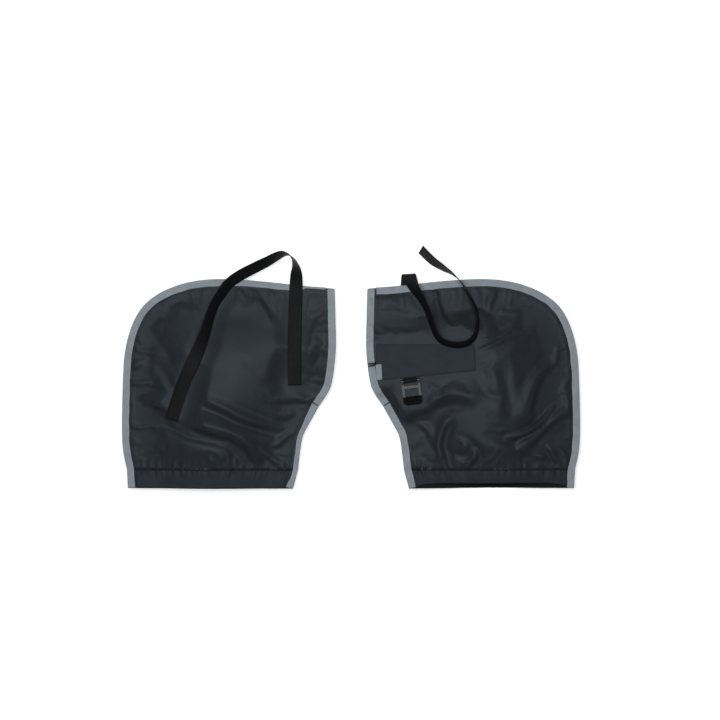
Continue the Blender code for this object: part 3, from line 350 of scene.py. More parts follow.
sky = bpy.data.worlds.new("daylight")
sky.use_nodes = True
sky_tree = sky.node_tree
sky_tree.nodes["Background"].inputs["Color"].default_value = linear("f4f6ff")
sky_rays = node(sky_tree, "ShaderNodeLightPath")
sky_level = node(
    sky_tree,
    "ShaderNodeMapRange",
    {"From Min": 0, "From Max": 1, "To Min": SKY_STRENGTH, "To Max": 1},
    {0: sky_rays.outputs["Is Camera Ray"]},
)
sky_tree.links.new(sky_level.outputs[0], sky_tree.nodes["Background"].inputs["Strength"])
bpy.context.scene.world = sky

lamp = bpy.data.lights.new("window_light", "AREA")
lamp.shape = "DISK"
lamp.size = KEY_SIZE
lamp.energy = KEY_POWER
window = bpy.data.objects.new("window_light", lamp)
bpy.context.scene.collection.objects.link(window)
window.location = KEY_PLACE
window.rotation_euler = (-Vector(KEY_PLACE)).to_track_quat("-Z", "Y").to_euler()


# Outer cloth. A muff's two faces are cut from polyester taffeta with a soft water-repellent coating, one of
# them slit from the neck edge. They are sewn together along the top, the outer side and the side seam, and
# lie over fleece, so they swell and crease. First the plan that both faces share, seen on the strap side.
MUFF_MIDDLES = {"left": -0.1835, "right": 0.1835}
TURNS = {"left": 1, "right": -1}
PLAN_MIDDLE = 0.001518
SEAM_LEVEL = 0.01665
CLOTH = 0.0006
WEAVE_PITCH = 0.0014
EDGE_HALF = 0.00165
STACK_HALF = 0.00265
FLANGE = 0.0105
FLANGE_EASE = 0.012
CUFF_DRAW = 0.073
BODY_START = 0.0140
CROWN_UP = 0.022
CROWN_DOWN = 0.015
CROWN_REACH = 0.120
SOLE_DEPTH = 0.014
PLAN_STEP = 0.0030
FACE_STEP = 0.0034
TOP_AND_OUTER = [
    (0.1580, 0.1446), (0.1148, 0.1476), (0.0463, 0.1549), (-0.0105, 0.1581), (-0.0522, 0.1549),
    (-0.0879, 0.1446), (-0.1148, 0.1297), (-0.1326, 0.1117), (-0.1461, 0.0850), (-0.1550, 0.0491),
    (-0.1580, 0.0075), (-0.1595, -0.0596), (-0.1580, -0.0969), (-0.1520, -0.1269),
]
SIDE_SEAM = [(0.1029, -0.1277), (0.1064, -0.0973), (0.1103, -0.0765), (0.1192, -0.0587), (0.1342, -0.0318)]
NECK_EDGE = [
    (0.1342, -0.0318), (0.1471, -0.0125), (0.1541, 0.0059), (0.1595, 0.0521), (0.1590, 0.1017),
    (0.1580, 0.1446),
]
OUTER_HEM = (-0.1506, -0.1549)
INNER_HEM = (0.0954, -0.1557)
FLAP_ROOT = (-0.0008, 0.0521)
FLAP_ALONG = (0.9912, -0.1323)
FLAP_DOWN = (-0.1323, -0.9912)
FLAP_LENGTH = 0.1483
FLAP_GROUND = [
    (-0.0062, 0.0871), (-0.0151, 0.0207), (0.0722, 0.0091), (0.0670, -0.0296), (0.1106, -0.0354),
    (0.1158, 0.0033), (0.1815, -0.0055), (0.1903, 0.0609),
]
GROUND_BLEND = 0.030
RIDGE_SOFT = 0.020
GROUND_SWELL = {True: (0.019, 0.008), False: (0.0070, 0.0035)}
SLIT = (0.0002, 0.0022)
SIDES = {"a": 1, "b": -1}


def smooth_share(value):
    value = np.clip(value, 0, 1)
    return value * value * (3 - 2 * value)


def nearest(points, line):
    """For each point: its distance to a line, how far along the line that is, and 1 on the line's left."""
    spans = np.diff(line, axis=0)
    lengths = np.hypot(*spans.T)
    travelled = np.concatenate([[0], np.cumsum(lengths)])
    closest = ((line**2).sum(axis=1) - 2 * points @ line.T).argmin(axis=1)
    best = np.full(len(points), np.inf)
    place = np.zeros(len(points))
    side = np.ones(len(points))
    for k in (np.clip(closest - 1, 0, None), np.clip(closest, None, len(spans) - 1)):
        offset = points - line[k]
        share = np.clip((offset * spans[k]).sum(axis=1) / lengths[k] ** 2, 0, 1)
        apart = np.hypot(*(offset - share[:, None] * spans[k]).T)
        closer = apart < best
        best = np.where(closer, apart, best)
        place = np.where(closer, travelled[k] + share * lengths[k], place)
        turned = spans[k][:, 0] * offset[:, 1] > spans[k][:, 1] * offset[:, 0]
        side = np.where(closer, np.where(turned, 1, -1), side)
    return best, place, side


def inside(points, outline):
    found = np.zeros(len(points), bool)
    for start, end in zip(outline, np.roll(outline, -1, axis=0)):
        crosses = (start[1] > points[:, 1]) != (end[1] > points[:, 1])
        rise = end[1] - start[1] if end[1] != start[1] else 1
        found ^= crosses & (points[:, 0] < start[0] + (end[0] - start[0]) * (points[:, 1] - start[1]) / rise)
    return found


top_and_outer = smooth_line(TOP_AND_OUTER, PLAN_STEP)
side_seam = smooth_line(SIDE_SEAM, PLAN_STEP)
neck_edge = smooth_line(NECK_EDGE, PLAN_STEP)
cuff_line = respaced(np.array([top_and_outer[-1], side_seam[0]]), PLAN_STEP)
sewn_edges = {
    "outer": respaced(np.vstack([top_and_outer, [OUTER_HEM]]), PLAN_STEP),
    "side": respaced(np.vstack([[INNER_HEM], side_seam]), PLAN_STEP),
}
face_outline = np.vstack([top_and_outer[:-1], cuff_line[:-1], side_seam[:-1], neck_edge[:-1]])
flap_root = np.array(FLAP_ROOT)
flap_along = np.array(FLAP_ALONG)
flap_down = np.array(FLAP_DOWN)
past_neck = FLAP_LENGTH + 0.040
slit_corners = [(0, SLIT[0]), (0, SLIT[1]), (past_neck, SLIT[1]), (past_neck, SLIT[0])]
slit_outline = np.array([flap_root + flap_along * along + flap_down * down for along, down in slit_corners])


def from_edges(points):
    """The distances of points to the outer edge and to the side seam."""
    return [nearest(points, line)[0] for line in sewn_edges.values()]


def from_seam(points, up, slit_side):
    """How far the outside of a face stands from the seam's level, before it creases."""
    apart = from_edges(points)
    distance = np.minimum(*apart)
    rounded = -RIDGE_SOFT * np.logaddexp(-apart[0] / RIDGE_SOFT, -apart[1] / RIDGE_SOFT)
    swell = smooth_share((rounded - BODY_START) / CROWN_REACH) * (CROWN_UP if up else CROWN_DOWN)
    if up:
        swell *= 0.55 + 0.45 * smooth_share((points[:, 1] - OUTER_HEM[1]) / CUFF_DRAW)
    if slit_side:
        ground = np.array(FLAP_GROUND)
        away = nearest(points, respaced(np.vstack([ground, ground[:1]]), PLAN_STEP))[0]
        share = np.where(inside(points, ground), 1, 1 - smooth_share(away / GROUND_BLEND))
        inner, outer = GROUND_SWELL[up]
        level = inner + (outer - inner) * ((points - flap_root) @ flap_along) / FLAP_LENGTH
        swell = swell + (level - swell) * share
    if not up:
        swell = np.minimum(swell, SOLE_DEPTH)
    swell = swell * smooth_share((distance - FLANGE) / FLANGE_EASE)
    edge = smooth_share((distance - FLANGE) / (BODY_START - FLANGE))
    return EDGE_HALF + (STACK_HALF - EDGE_HALF) * edge + swell


def to_world(muff, points, level):
    """Lays points of the plan, at a level over the seam, down at a muff's place."""
    turn = TURNS[muff]
    return np.column_stack(
        [MUFF_MIDDLES[muff] + turn * points[:, 0], points[:, 1] - PLAN_MIDDLE, SEAM_LEVEL + turn * level]
    )


def renumbered(triangles, count):
    """Which of so many points the triangles use, and the triangles by their numbers among those."""
    used = np.unique(triangles)
    index = np.zeros(count, int)
    index[used] = np.arange(len(used))
    return used, index[triangles]


def plan_mesh(slit_side, step):
    """Points and triangles of a face in plan, on an even grid and along its edges."""
    rows = np.arange(-0.17, 0.17, step * math.sqrt(3) / 2)
    grid = np.array([(x + (k % 2) * step / 2, y) for k, y in enumerate(rows) for x in np.arange(-0.17, 0.17, step)])
    edge = respaced(np.vstack([face_outline, face_outline[:1]]), step)[:-1]
    chains = [np.vstack([edge, edge[:1]])]
    if slit_side:
        chains.append(respaced(np.vstack([slit_outline, slit_outline[:1]]), step))
    clear = np.all([nearest(grid, chain)[0] > step * 0.6 for chain in chains], axis=0)
    grid = grid[clear & inside(grid, face_outline)]
    points = []
    edges = []
    for chain in chains:
        first = len(points)
        points += [Vector(point) for point in chain[:-1]]
        count = len(chain) - 1
        edges += [(first + k, first + (k + 1) % count) for k in range(count)]
    points += [Vector(point) for point in grid]
    found = delaunay_2d_cdt(points, edges, [], 0, 1e-6)
    points = np.array([tuple(point) for point in found[0]])
    triangles = np.array([tuple(face) for face in found[2]])
    middles = points[triangles].mean(axis=1)
    kept = inside(middles, face_outline)
    if slit_side:
        kept &= ~inside(middles, slit_outline)
    used, triangles = renumbered(triangles[kept], len(points))
    return points[used], triangles


# Creases of the two faces that lie uppermost. The cloth stands high on the left of each and low on its right.
# Each has the height of its step, its half width and its course. Lengths are in tenths of a millimetre here,
# and the third number of a point is the crease's strength there, in hundredths.
CREASES = {
    "left": [
        (86, 135, [(-3258, -286, 0), (-3045, -321, 45), (-2806, -385, 75), (-2541, -539, 100), (-2275, -666, 100),
            (-1983, -756, 85), (-1771, -831, 80), (-1598, -963, 80), (-1492, -1109, 60), (-1431, -1255, 0)]),
        (40, 85, [(-2355, -193, 0), (-2116, -313, 70), (-1877, -419, 100), (-1665, -533, 100), (-1426, -618, 80),
            (-1213, -666, 50), (-988, -719, 0)]),
        (28, 100, [(-3311, 178, 60), (-3218, 218, 100), (-3138, 284, 60), (-3112, 364, 0)]),
        (21, 70, [(-3337, -29, 70), (-3152, -39, 100), (-2966, -47, 80), (-2753, -92, 0)]),
        (16, 70, [(-3337, -685, 60), (-3152, -692, 100), (-2992, -698, 80), (-2859, -719, 0)]),
        (9, 50, [(-3205, -905, 0), (-3085, -905, 100), (-2913, -916, 0)]),
        (15, 110, [(-1399, 19, 0), (-1213, 67, 100), (-1028, 77, 80), (-868, 72, 50), (-550, 19, 0)]),
        (21, 90, [(-1213, -353, 0), (-1067, -286, 80), (-895, -260, 100), (-736, -286, 90), (-576, -326, 40),
            (-497, -379, 0)]),
        (14, 70, [(-1160, -485, 0), (-1001, -539, 100), (-842, -485, 60), (-736, -353, 0)]),
        (23, 70, [(-1439, -897, 0), (-1333, -1030, 90), (-1213, -1154, 100), (-1107, -1255, 90),
            (-1041, -1375, 30)]),
        (21, 70, [(-1081, -1003, 0), (-1028, -910, 100), (-948, -831, 80), (-868, -751, 0)]),
        (18, 40, [(-2023, -1322, 50), (-2015, -1216, 100), (-2050, -1123, 80), (-2116, -1056, 0)]),
        (20, 80, [(-1121, 869, 0), (-1174, 1001, 80), (-1253, 1147, 100), (-1333, 1267, 90), (-1386, 1386, 30)]),
        (17, 50, [(-1559, 1280, 0), (-1590, 1352, 100), (-1638, 1439, 60)]),
        (17, 50, [(-1134, 1320, 0), (-1166, 1386, 100), (-1200, 1453, 70)]),
        (11, 50, [(-1067, 1346, 0), (-1102, 1400, 100), (-1113, 1458, 50)]),
        (23, 50, [(-2753, 1280, 0), (-2660, 1280, 100), (-2581, 1333, 100), (-2536, 1426, 50)]),
        (11, 100, [(-3258, 709, 0), (-3152, 869, 100), (-3045, 1001, 100), (-2913, 1134, 0)]),
        (-16, 90, [(-2992, 338, 0), (-2859, 152, 90), (-2727, -34, 100), (-2621, -193, 40)]),
        (10, 140, [(-2806, 709, 0), (-2621, 497, 100), (-2435, 231, 70), (-2302, 72, 0)]),
        (9, 160, [(-1824, 497, 0), (-1612, 338, 100), (-1426, 178, 60), (-1293, 72, 0)]),
        (9, 180, [(-2036, 1081, 0), (-1771, 1134, 100), (-1506, 1081, 60), (-1293, 922, 0)]),
        (10, 120, [(-683, 284, 0), (-550, 444, 100), (-497, 656, 60), (-523, 869, 0)]),
    ],
    "right": [
        (34, 90, [(1578, 815, 0), (1472, 922, 80), (1392, 1054, 100), (1352, 1214, 100), (1326, 1346, 80),
            (1286, 1466, 30)]),
        (25, 70, [(2069, 1081, 0), (2122, 1200, 100), (2183, 1307, 100), (2215, 1413, 40)]),
        (22, 100, [(2600, 1001, 0), (2693, 1068, 100), (2773, 1161, 90), (2666, 1267, 0)]),
        (23, 200, [(330, 1147, 30), (543, 1108, 100), (781, 1054, 100), (1020, 948, 60), (1206, 815, 0)]),
        (21, 120, [(1472, 709, 0), (1631, 736, 100), (1737, 842, 100), (1790, 1001, 0)]),
        (62, 140, [(2640, -618, 0), (2680, -459, 80), (2733, -273, 100), (2799, -87, 100), (2879, 72, 90),
            (3012, 178, 50), (3171, 218, 0)]),
        (34, 60, [(2295, -857, 0), (2507, -791, 80), (2720, -685, 100), (2879, -552, 100), (3012, -392, 40)]),
        (21, 45, [(2454, -685, 0), (2640, -592, 80), (2799, -459, 100), (2932, -326, 30)]),
        (52, 130, [(2481, -1016, 0), (2640, -963, 90), (2826, -804, 100), (2985, -645, 100), (3171, -539, 80),
            (3330, -485, 20)]),
        (26, 70, [(2507, -1030, 20), (2720, -1096, 100), (2932, -1154, 90), (3065, -1229, 20)]),
        (-29, 50, [(3078, -1229, 30), (3012, -1096, 100), (2932, -963, 100), (2852, -857, 20)]),
        (-26, 40, [(3237, -1255, 30), (3197, -1123, 100), (3144, -1030, 80), (3091, -963, 0)]),
        (36, 120, [(808, -499, 30), (1020, -419, 90), (1233, -326, 100), (1472, -246, 100), (1684, -260, 80),
            (1897, -326, 0)]),
        (23, 70, [(861, -618, 0), (1007, -645, 90), (1113, -724, 100), (1180, -857, 20)]),
        (38, 80, [(1432, -1229, 50), (1405, -1083, 100), (1366, -910, 100), (1392, -751, 90), (1445, -618, 70),
            (1512, -512, 0)]),
        (29, 80, [(1578, -937, 0), (1684, -1030, 100), (1750, -910, 80), (1684, -751, 0)]),
        (26, 60, [(1777, -1229, 40), (1857, -1136, 100), (1875, -1030, 90), (1817, -897, 0)]),
        (14, 26, [(2043, -1202, 0), (2122, -1109, 100), (2189, -1016, 100), (2228, -963, 0)]),
        (26, 80, [(3343, -406, 40), (3290, -193, 100), (3264, -34, 80), (3277, 125, 0)]),
        (21, 100, [(3118, 231, 0), (3144, 364, 100), (3171, 497, 80), (3211, 630, 0)]),
        (16, 50, [(1843, 537, 60), (2056, 603, 100), (2268, 709, 70), (2454, 815, 0)]),
        (12, 50, [(1843, 656, 50), (2029, 696, 100), (2242, 762, 0)]),
        (17, 120, [(2242, -671, 0), (2281, -406, 80), (2255, -114, 100), (2189, 152, 90), (2082, 364, 0)]),
        (12, 100, [(1923, -34, 0), (2082, -114, 100), (2268, -140, 50), (2454, -87, 0)]),
        (13, 140, [(2321, 709, 0), (2481, 869, 100), (2587, 1081, 80), (2534, 1240, 0)]),
        (23, 60, [(861, -1255, 60), (1020, -1269, 100), (1180, -1287, 60), (1366, -1269, 0)]),
        (18, 60, [(3038, -724, 0), (3171, -685, 100), (3330, -671, 50)]),
        (21, 40, [(635, 1293, 0), (601, 1360, 100), (556, 1431, 60)]),
        (18, 40, [(1312, 1320, 0), (1291, 1386, 100), (1259, 1466, 60)]),
        (-16, 140, [(2003, -937, 0), (2189, -884, 100), (2374, -937, 80), (2481, -1069, 0)]),
    ],
}


# This brings the highest point of a crease's curve to 1
FULL_STEP = 2.33
CREASE_STEP = 0.002


def creased(places, creases):
    """The height that creases add at places seen from above."""
    total = np.zeros(len(places))
    for height, width, course in creases:
        course = smooth_line(np.array(course) / (TENTHS, TENTHS, 100), CREASE_STEP)
        apart, place, side = nearest(places, course[:, :2])
        strength = np.interp(place, travel(course[:, :2]), np.clip(course[:, 2], 0, None))
        across = apart * side / (width / TENTHS)
        total += height / TENTHS * strength * FULL_STEP * across * np.exp(-(across**2))
    return total


def puckers(place, seed, shortest, longest):
    """Uneven waves along a seam, about -1 to 1 and the same on every run, of wavelengths in this range."""
    source = np.random.default_rng(seed)
    total = np.zeros(len(place))
    for _ in range(9):
        wavelength = source.uniform(shortest, longest)
        total += np.sin(2 * math.pi * (place / wavelength + source.uniform(0, 1)))
    return total / 3.5


# Ruffles that the stitching draws up. Each seam has the height of its ruffles and how far they reach into the
# cloth, and those at the cuff seam are also the cuff's own. WAVES are the shortest and the longest wave. The
# reach varies along a seam too, but stays over a least value.
SEAM_RUFFLES = [(top_and_outer, 0.0010, 0.020), (side_seam, 0.0008, 0.014), (neck_edge, 0.0004, 0.012)]
SEAM_WAVES = (0.007, 0.030)
SEAM_REACH_WAVES = (0.02, 0.09)
SEAM_REACH_LEAST = 0.006
SEWN = 0.009
SEWN_EASE = 0.004
CUFF_RUFFLE = 0.0013
CUFF_WAVES = (0.006, 0.022)
CUFF_REACH = 0.013
CUFF_REACH_WAVES = (0.02, 0.08)
CUFF_REACH_LEAST = 0.010
CUFF_SEED = 9
MUFF_SEEDS = {"left": 3, "right": 23}


def seam_puckers(points, seed):
    """The small ruffles of a face beside its bound edges and above its cuff."""
    total = np.zeros(len(points))
    for k, (line, height, reach) in enumerate(SEAM_RUFFLES):
        apart, place, _ = nearest(points, line)
        reached = reach * (1 + 0.6 * puckers(place, seed + 50 + k, *SEAM_REACH_WAVES))
        waves = height * puckers(place, seed + k, *SEAM_WAVES) * smooth_share((apart - SEWN) / SEWN_EASE)
        total += waves * np.exp(-((apart / np.maximum(reached, SEAM_REACH_LEAST)) ** 2))
    apart, place, _ = nearest(points, cuff_line)
    reached = CUFF_REACH * (1 + 0.7 * puckers(place, seed + 60, *CUFF_REACH_WAVES))
    reached = np.maximum(reached, CUFF_REACH_LEAST)
    total += CUFF_RUFFLE * puckers(place, seed + CUFF_SEED, *CUFF_WAVES) * np.exp(-((apart / reached) ** 2))
    return total


# The cloth keeps this far from the webbing. Beside it, the ceiling rises by the square of the distance.
STRAP_CLEAR = 0.0010
DENT_RISE = 14
LEAST_DENT = 0.002


def strap_ceiling(places):
    """The height that the cloth must stay under so that it clears the webbing lying on it."""
    ceiling = np.full(len(places), np.inf)
    for muff in STRAP_ROUTES:
        line = strap_line(muff, 0.003)
        for x, y, z, across_x, across_y, across_z in line[line[:, 2] > SEAM_LEVEL]:
            low = z - abs(across_z) * WEBBING_WIDTH / 2 - STRAP_CLEAR
            reach = max(WEBBING_WIDTH / 2 * math.hypot(across_x, across_y), LEAST_DENT) + STRAP_CLEAR
            apart = np.hypot(places[:, 0] - x, places[:, 1] - y)
            ceiling = np.minimum(ceiling, low + DENT_RISE * np.maximum(apart - reach, 0) ** 2)
    return ceiling


def pressed(heights, ceiling, soft=0.003):
    """Heights kept under a ceiling, which they meet in a soft curve."""
    share = np.clip(0.5 + (ceiling - heights) / (2 * soft), 0, 1)
    return ceiling + (heights - ceiling) * share - soft * share * (1 - share)


# The flat ground under the flap and the buckle, measured from the crease's inner end. The flap's has its limits
# along the crease and down from it, and the buckle's has its middle and its half sizes.
UNDER_FLAP = ((0, 0.2), (-0.031, 0.033))
BUCKLE_ALONG = 0.1009
BUCKLE_MIDDLE = 0.045
BUCKLE_GROUND = (0.017, 0.027)
GROUND_EDGE = 0.016


def flap_mask(points):
    """1 under the flap and the buckle, where the cloth is held flat, falling to 0 around them."""
    offset = points - flap_root
    along = offset @ flap_along
    down = offset @ flap_down
    past = [np.maximum(low - part, part - high) for part, (low, high) in zip((along, down), UNDER_FLAP)]
    half_along, half_down = BUCKLE_GROUND
    near_buckle = np.maximum(np.abs(along - BUCKLE_ALONG) - half_along, np.abs(down - BUCKLE_MIDDLE) - half_down)
    return 1 - smooth_share(np.minimum(np.maximum(*past), near_buckle) / GROUND_EDGE)


def taffeta_weave(name, roughness, specular, mottling):
    """Polyester taffeta of filament yarn, with a tinted sheen and uneven dye. Its plain weave is drawn at 1.4 mm,
    coarser than the real 0.3 mm, so that it shows. Both finishes of the cloth start from it."""
    material, tree, shader = new_material(name, roughness, {"Specular IOR Level": specular})
    shader.inputs["Specular Tint"].default_value = linear("e2f2ff")
    spread = node(tree, "ShaderNodeTexCoord").outputs["Object"]
    parts = node(tree, "ShaderNodeSeparateXYZ", {}, {0: spread})
    warp = wave(tree, parts.outputs[0], WEAVE_PITCH)
    weft = wave(tree, parts.outputs[1], WEAVE_PITCH)
    weave = node(tree, "ShaderNodeMath", {"operation": "MULTIPLY"}, {0: warp, 1: weft})
    mottle = node(tree, "ShaderNodeTexNoise", mottling, {0: spread})
    return material, tree, shader, spread, weave, mottle


def coated_taffeta():
    """Water-repellent polyester taffeta. Its yarn and its coating give a blue-black cloth with a soft sheen."""
    material, tree, shader, spread, weave, mottle = taffeta_weave(
        "coated_polyester_taffeta", 0.5, 0.12, {"Scale": 38, "Detail": 5, "Roughness": 0.6}
    )
    fine = node(tree, "ShaderNodeTexNoise", {"Scale": 900, "Detail": 2}, {0: spread})
    rough = node(
        tree,
        "ShaderNodeMapRange",
        {"From Min": 0.3, "From Max": 0.7, "To Min": 0.40, "To Max": 0.50},
        {0: mottle.outputs[0]},
    )
    tree.links.new(rough.outputs[0], shader.inputs["Roughness"])
    grain = node(
        tree, "ShaderNodeMath", {"operation": "MULTIPLY_ADD", 1: 0.5}, {0: fine.outputs[0], 2: weave.outputs[0]}
    )
    surfaced(tree, shader, mottle.outputs[0], ("1c2023", "292e31"), grain.outputs[0], 0.22, 0.0003)
    return material


# The taffeta hardly stretches. It grows by 1.2% and is lifted a little by air, and no point moves further than
# the cap.
CLOTH_SETTINGS = {
    "quality": 5,
    "mass": 0.12,
    "tension_stiffness": 20,
    "compression_stiffness": 20,
    "shear_stiffness": 6,
    "bending_stiffness": 0.6,
    "shrink_min": -0.012,
    "use_pressure": True,
    "uniform_pressure_force": 0.25,
}
SETTLE_FRAMES = 20
SETTLE_CAP = 0.0025


def settle(obj, held):
    """Lets a sheet of cloth buckle: it grows a little and is blown up softly, held by its seams."""
    before = np.array([tuple(vertex.co) for vertex in obj.data.vertices])
    group = obj.vertex_groups.new(name="held")
    for k, share in enumerate(held):
        group.add([k], float(share), "REPLACE")
    cloth = obj.modifiers.new("cloth", "CLOTH")
    for key, value in CLOTH_SETTINGS.items():
        setattr(cloth.settings, key, value)
    cloth.settings.vertex_group_mass = "held"
    cloth.settings.effector_weights.gravity = 0
    cloth.collision_settings.use_collision = False
    cloth.point_cache.frame_start = 1
    cloth.point_cache.frame_end = SETTLE_FRAMES
    for number in range(1, SETTLE_FRAMES + 1):
        bpy.context.scene.frame_set(number)
    shape = obj.evaluated_get(bpy.context.evaluated_depsgraph_get()).to_mesh()
    after = np.array([tuple(vertex.co) for vertex in shape.vertices])
    obj.modifiers.remove(cloth)
    bpy.context.scene.frame_set(1)
    moved = after - before
    size = np.linalg.norm(moved, axis=1)
    moved *= (np.minimum(size, SETTLE_CAP) / np.maximum(size, 1e-9))[:, None]
    return before + moved


# Least height of the cloth over the table, and the shares of the swell that ruffles may take away and that the
# settled cloth keeps
OFF_TABLE = 0.0002
RUFFLE_SHARE = 0.3
SETTLED_SHARE = 0.7
# How far from a seam, and from the neck edge, the cloth is quite free
SEAM_EASE = 0.010
NECK_EASE = 0.012

taffeta = coated_taffeta()
faces = {}
face_points = {}
for muff, turn in TURNS.items():
    for letter, side in SIDES.items():
        up = turn * side > 0
        points, triangles = plan_mesh(side < 0, FACE_STEP)
        base = from_seam(points, up, side < 0)
        places = to_world(muff, points, side * base)
        free = smooth_share((np.minimum(*from_edges(points)) - SEWN) / SEAM_EASE)
        if side < 0:
            free = free * (1 - flap_mask(points))
        ruffles = seam_puckers(points, MUFF_SEEDS[muff])
        if up:
            ruffles += creased(places[:, :2], CREASES[muff])
        ruffles = np.maximum(ruffles * free, RUFFLE_SHARE * (EDGE_HALF - base))
        places[:, 2] += (1 if up else -1) * ruffles
        places[:, 2] = np.maximum(places[:, 2], OFF_TABLE)
        triangles = triangles[:, ::side]
        cloth = mesh_object(f"{muff}_face_{letter}_cloth", places, triangles, taffeta)
        if up:
            off_neck = smooth_share(nearest(points, neck_edge)[0] / NECK_EASE)
            off_cuff = smooth_share(nearest(points, cuff_line)[0] / SEAM_EASE)
            places = settle(cloth, 1 - free * off_neck * off_cuff)
            least = SEAM_LEVEL + EDGE_HALF + SETTLED_SHARE * (base - EDGE_HALF)
            places[:, 2] = np.maximum(places[:, 2], least)
        if up:
            clear = pressed(places[:, 2], strap_ceiling(places[:, :2]))
            places[:, 2] = np.maximum(clear, np.minimum(places[:, 2], SEAM_LEVEL + EDGE_HALF))
        cloth.data.vertices.foreach_set("co", np.asarray(places, np.float32).ravel())
        cloth.data.update()
        faces[muff, letter] = cloth
        face_points[muff, letter] = points


# Bindings. Grey grosgrain tape, folded lengthwise over the raw edges and sewn through. One runs over the
# top and down the outer side, one down the side seam, and the lips of the neck opening have their own.
TAPE = 0.0007
GAP = 0.0003
BINDING_LIP = 0.0100
BINDING_CLEAR = 0.0008
# The left muff's tapes lie rolled under: the outer one up to this far from the neck, the side one by this share
ROLLED_BACK = 0.028
SLIM_SIDE = 0.35
TAPE_SEEDS = {"left": 71, "right": 73}
BINDING_OUT = GAP + TAPE
TAPE_STEP = 0.0025
TAPE_WOBBLE = 0.0004
STITCH = 0.0026
THREAD = 0.00045
# A stitch's cloth is looked for from this far over its row, and this far down from there. The thread's middle
# lies over the cloth by this share of the thread.
SEEK_FROM = 0.006
SEEK_DEPTH = 0.014
THREAD_UP = 0.15


def grosgrain():
    """Polyester grosgrain: matt grey, with close ribs across the tape that catch the light, and the rib tops are
    also painted lighter in the colour as a painted highlight, over uneven soiling. Their pitch is drawn at 1.3 mm
    in place of 0.7 mm, so that it shows."""
    material, tree, shader = new_material("polyester_grosgrain", 0.75, {"Specular IOR Level": 0.3})
    ribs = wave(tree, tape_place(tree)[1], 0.0013)
    spread = node(tree, "ShaderNodeTexCoord")
    soiling = {"Scale": 60, "Detail": 6, "Roughness": 0.7}
    soil = node(tree, "ShaderNodeTexNoise", soiling, {0: spread.outputs["Object"]})
    # The colour is lighter on the rib tops, a painted highlight, and it also varies with the soiling
    level = node(tree, "ShaderNodeMath", {"operation": "MULTIPLY_ADD", 1: 0.45}, {0: ribs, 2: soil.outputs[0]})
    surfaced(tree, shader, level.outputs[0], ("5c656d", "878f97"), level.outputs[0], 0.5, 0.0003)
    return material


def fold_section(lip, half_opening):
    """The section of a tape folded over an edge: how far out, and how far from the edge's middle."""
    outer = half_opening + TAPE
    turn = np.linspace(math.pi / 2, -math.pi / 2, 9)
    reach = np.linspace(0.0004 - lip, -0.0015, 5)
    section = [(-lip, outer - TAPE * 0.5), *[(x, outer) for x in reach]]
    section += [(BINDING_OUT * math.cos(t), outer * math.sin(t)) for t in turn]
    section += [*[(x, -outer) for x in reach[::-1]], (-lip, -outer + TAPE * 0.5), (-lip, -half_opening)]
    section += [(GAP * math.cos(t), half_opening * math.sin(t)) for t in turn[::-2]]
    section += [(-lip, half_opening)]
    return np.array(section)


def left_of(line):
    along = np.gradient(line, axis=0)
    along /= np.hypot(*along.T)[:, None]
    return np.column_stack([-along[:, 1], along[:, 0]])


def cloth_tree(obj):
    return BVHTree.FromPolygons([v.co for v in obj.data.vertices], [p.vertices for p in obj.data.polygons])


def thread_material(name, colour):
    """Spun polyester sewing thread: matt, with a faint twist that is too fine to show."""
    material, _, shader = new_material(name, 0.6, {"Specular IOR Level": 0.3})
    shader.inputs["Base Color"].default_value = linear(colour)
    return material


def row_of_stitches(thread):
    """Puts stitches along a line of seam points, each turned to lie on its cloth. Lengths are real ones; a little
    of the pitch is left between two stitches, where the thread goes down."""
    tree = bpy.data.node_groups.new("row_of_stitches", "GeometryNodeTree")
    tree.is_modifier = True
    tree.interface.new_socket("Seam", in_out="INPUT", socket_type="NodeSocketGeometry")
    for name, value in (("Pitch", STITCH), ("Thread", THREAD)):
        tree.interface.new_socket(name, in_out="INPUT", socket_type="NodeSocketFloat").default_value = value
    tree.interface.new_socket("Seed", in_out="INPUT", socket_type="NodeSocketInt").default_value = 5
    tree.interface.new_socket("Stitches", in_out="OUTPUT", socket_type="NodeSocketGeometry")
    given = node(tree, "NodeGroupInput")
    seam = node(tree, "GeometryNodeMeshToCurve", {}, {"Mesh": given.outputs["Seam"]})
    spacing = {"Curve": seam.outputs[0], "Length": given.outputs["Pitch"]}
    spaced = node(tree, "GeometryNodeResampleCurve", {"mode": "LENGTH"}, spacing)
    bead = node(tree, "GeometryNodeMeshUVSphere", {"Segments": 6, "Rings": 4, "Radius": 0.5})
    shares = {"data_type": "FLOAT", 2: 0.66, 3: 0.84}
    uneven = node(tree, "FunctionNodeRandomValue", shares, {"Seed": given.outputs["Seed"]})
    long = node(tree, "ShaderNodeMath", {"operation": "MULTIPLY"}, {0: given.outputs["Pitch"], 1: uneven.outputs[1]})
    size = node(
        tree, "ShaderNodeCombineXYZ", {}, {0: long.outputs[0], 1: given.outputs["Thread"], 2: given.outputs["Thread"]}
    )
    ahead = node(tree, "GeometryNodeInputTangent")
    upwards = node(tree, "GeometryNodeInputNamedAttribute", {"data_type": "FLOAT_VECTOR", "Name": "up"})
    axes = {"primary_axis": "X", "secondary_axis": "Z"}
    turned = node(tree, "FunctionNodeAxesToRotation", axes, {0: ahead.outputs[0], 1: upwards.outputs[0]})
    parts = {"Points": spaced, "Instance": bead, "Rotation": turned, "Scale": size}
    parts = {name: made.outputs[0] for name, made in parts.items()}
    placed = node(tree, "GeometryNodeInstanceOnPoints", {}, parts)
    real = node(tree, "GeometryNodeRealizeInstances", {}, {0: placed.outputs[0]})
    dressed = node(tree, "GeometryNodeSetMaterial", {"Material": thread}, {"Geometry": real.outputs[0]})
    node(tree, "NodeGroupOutput", {}, {0: dressed.outputs[0]})
    return tree


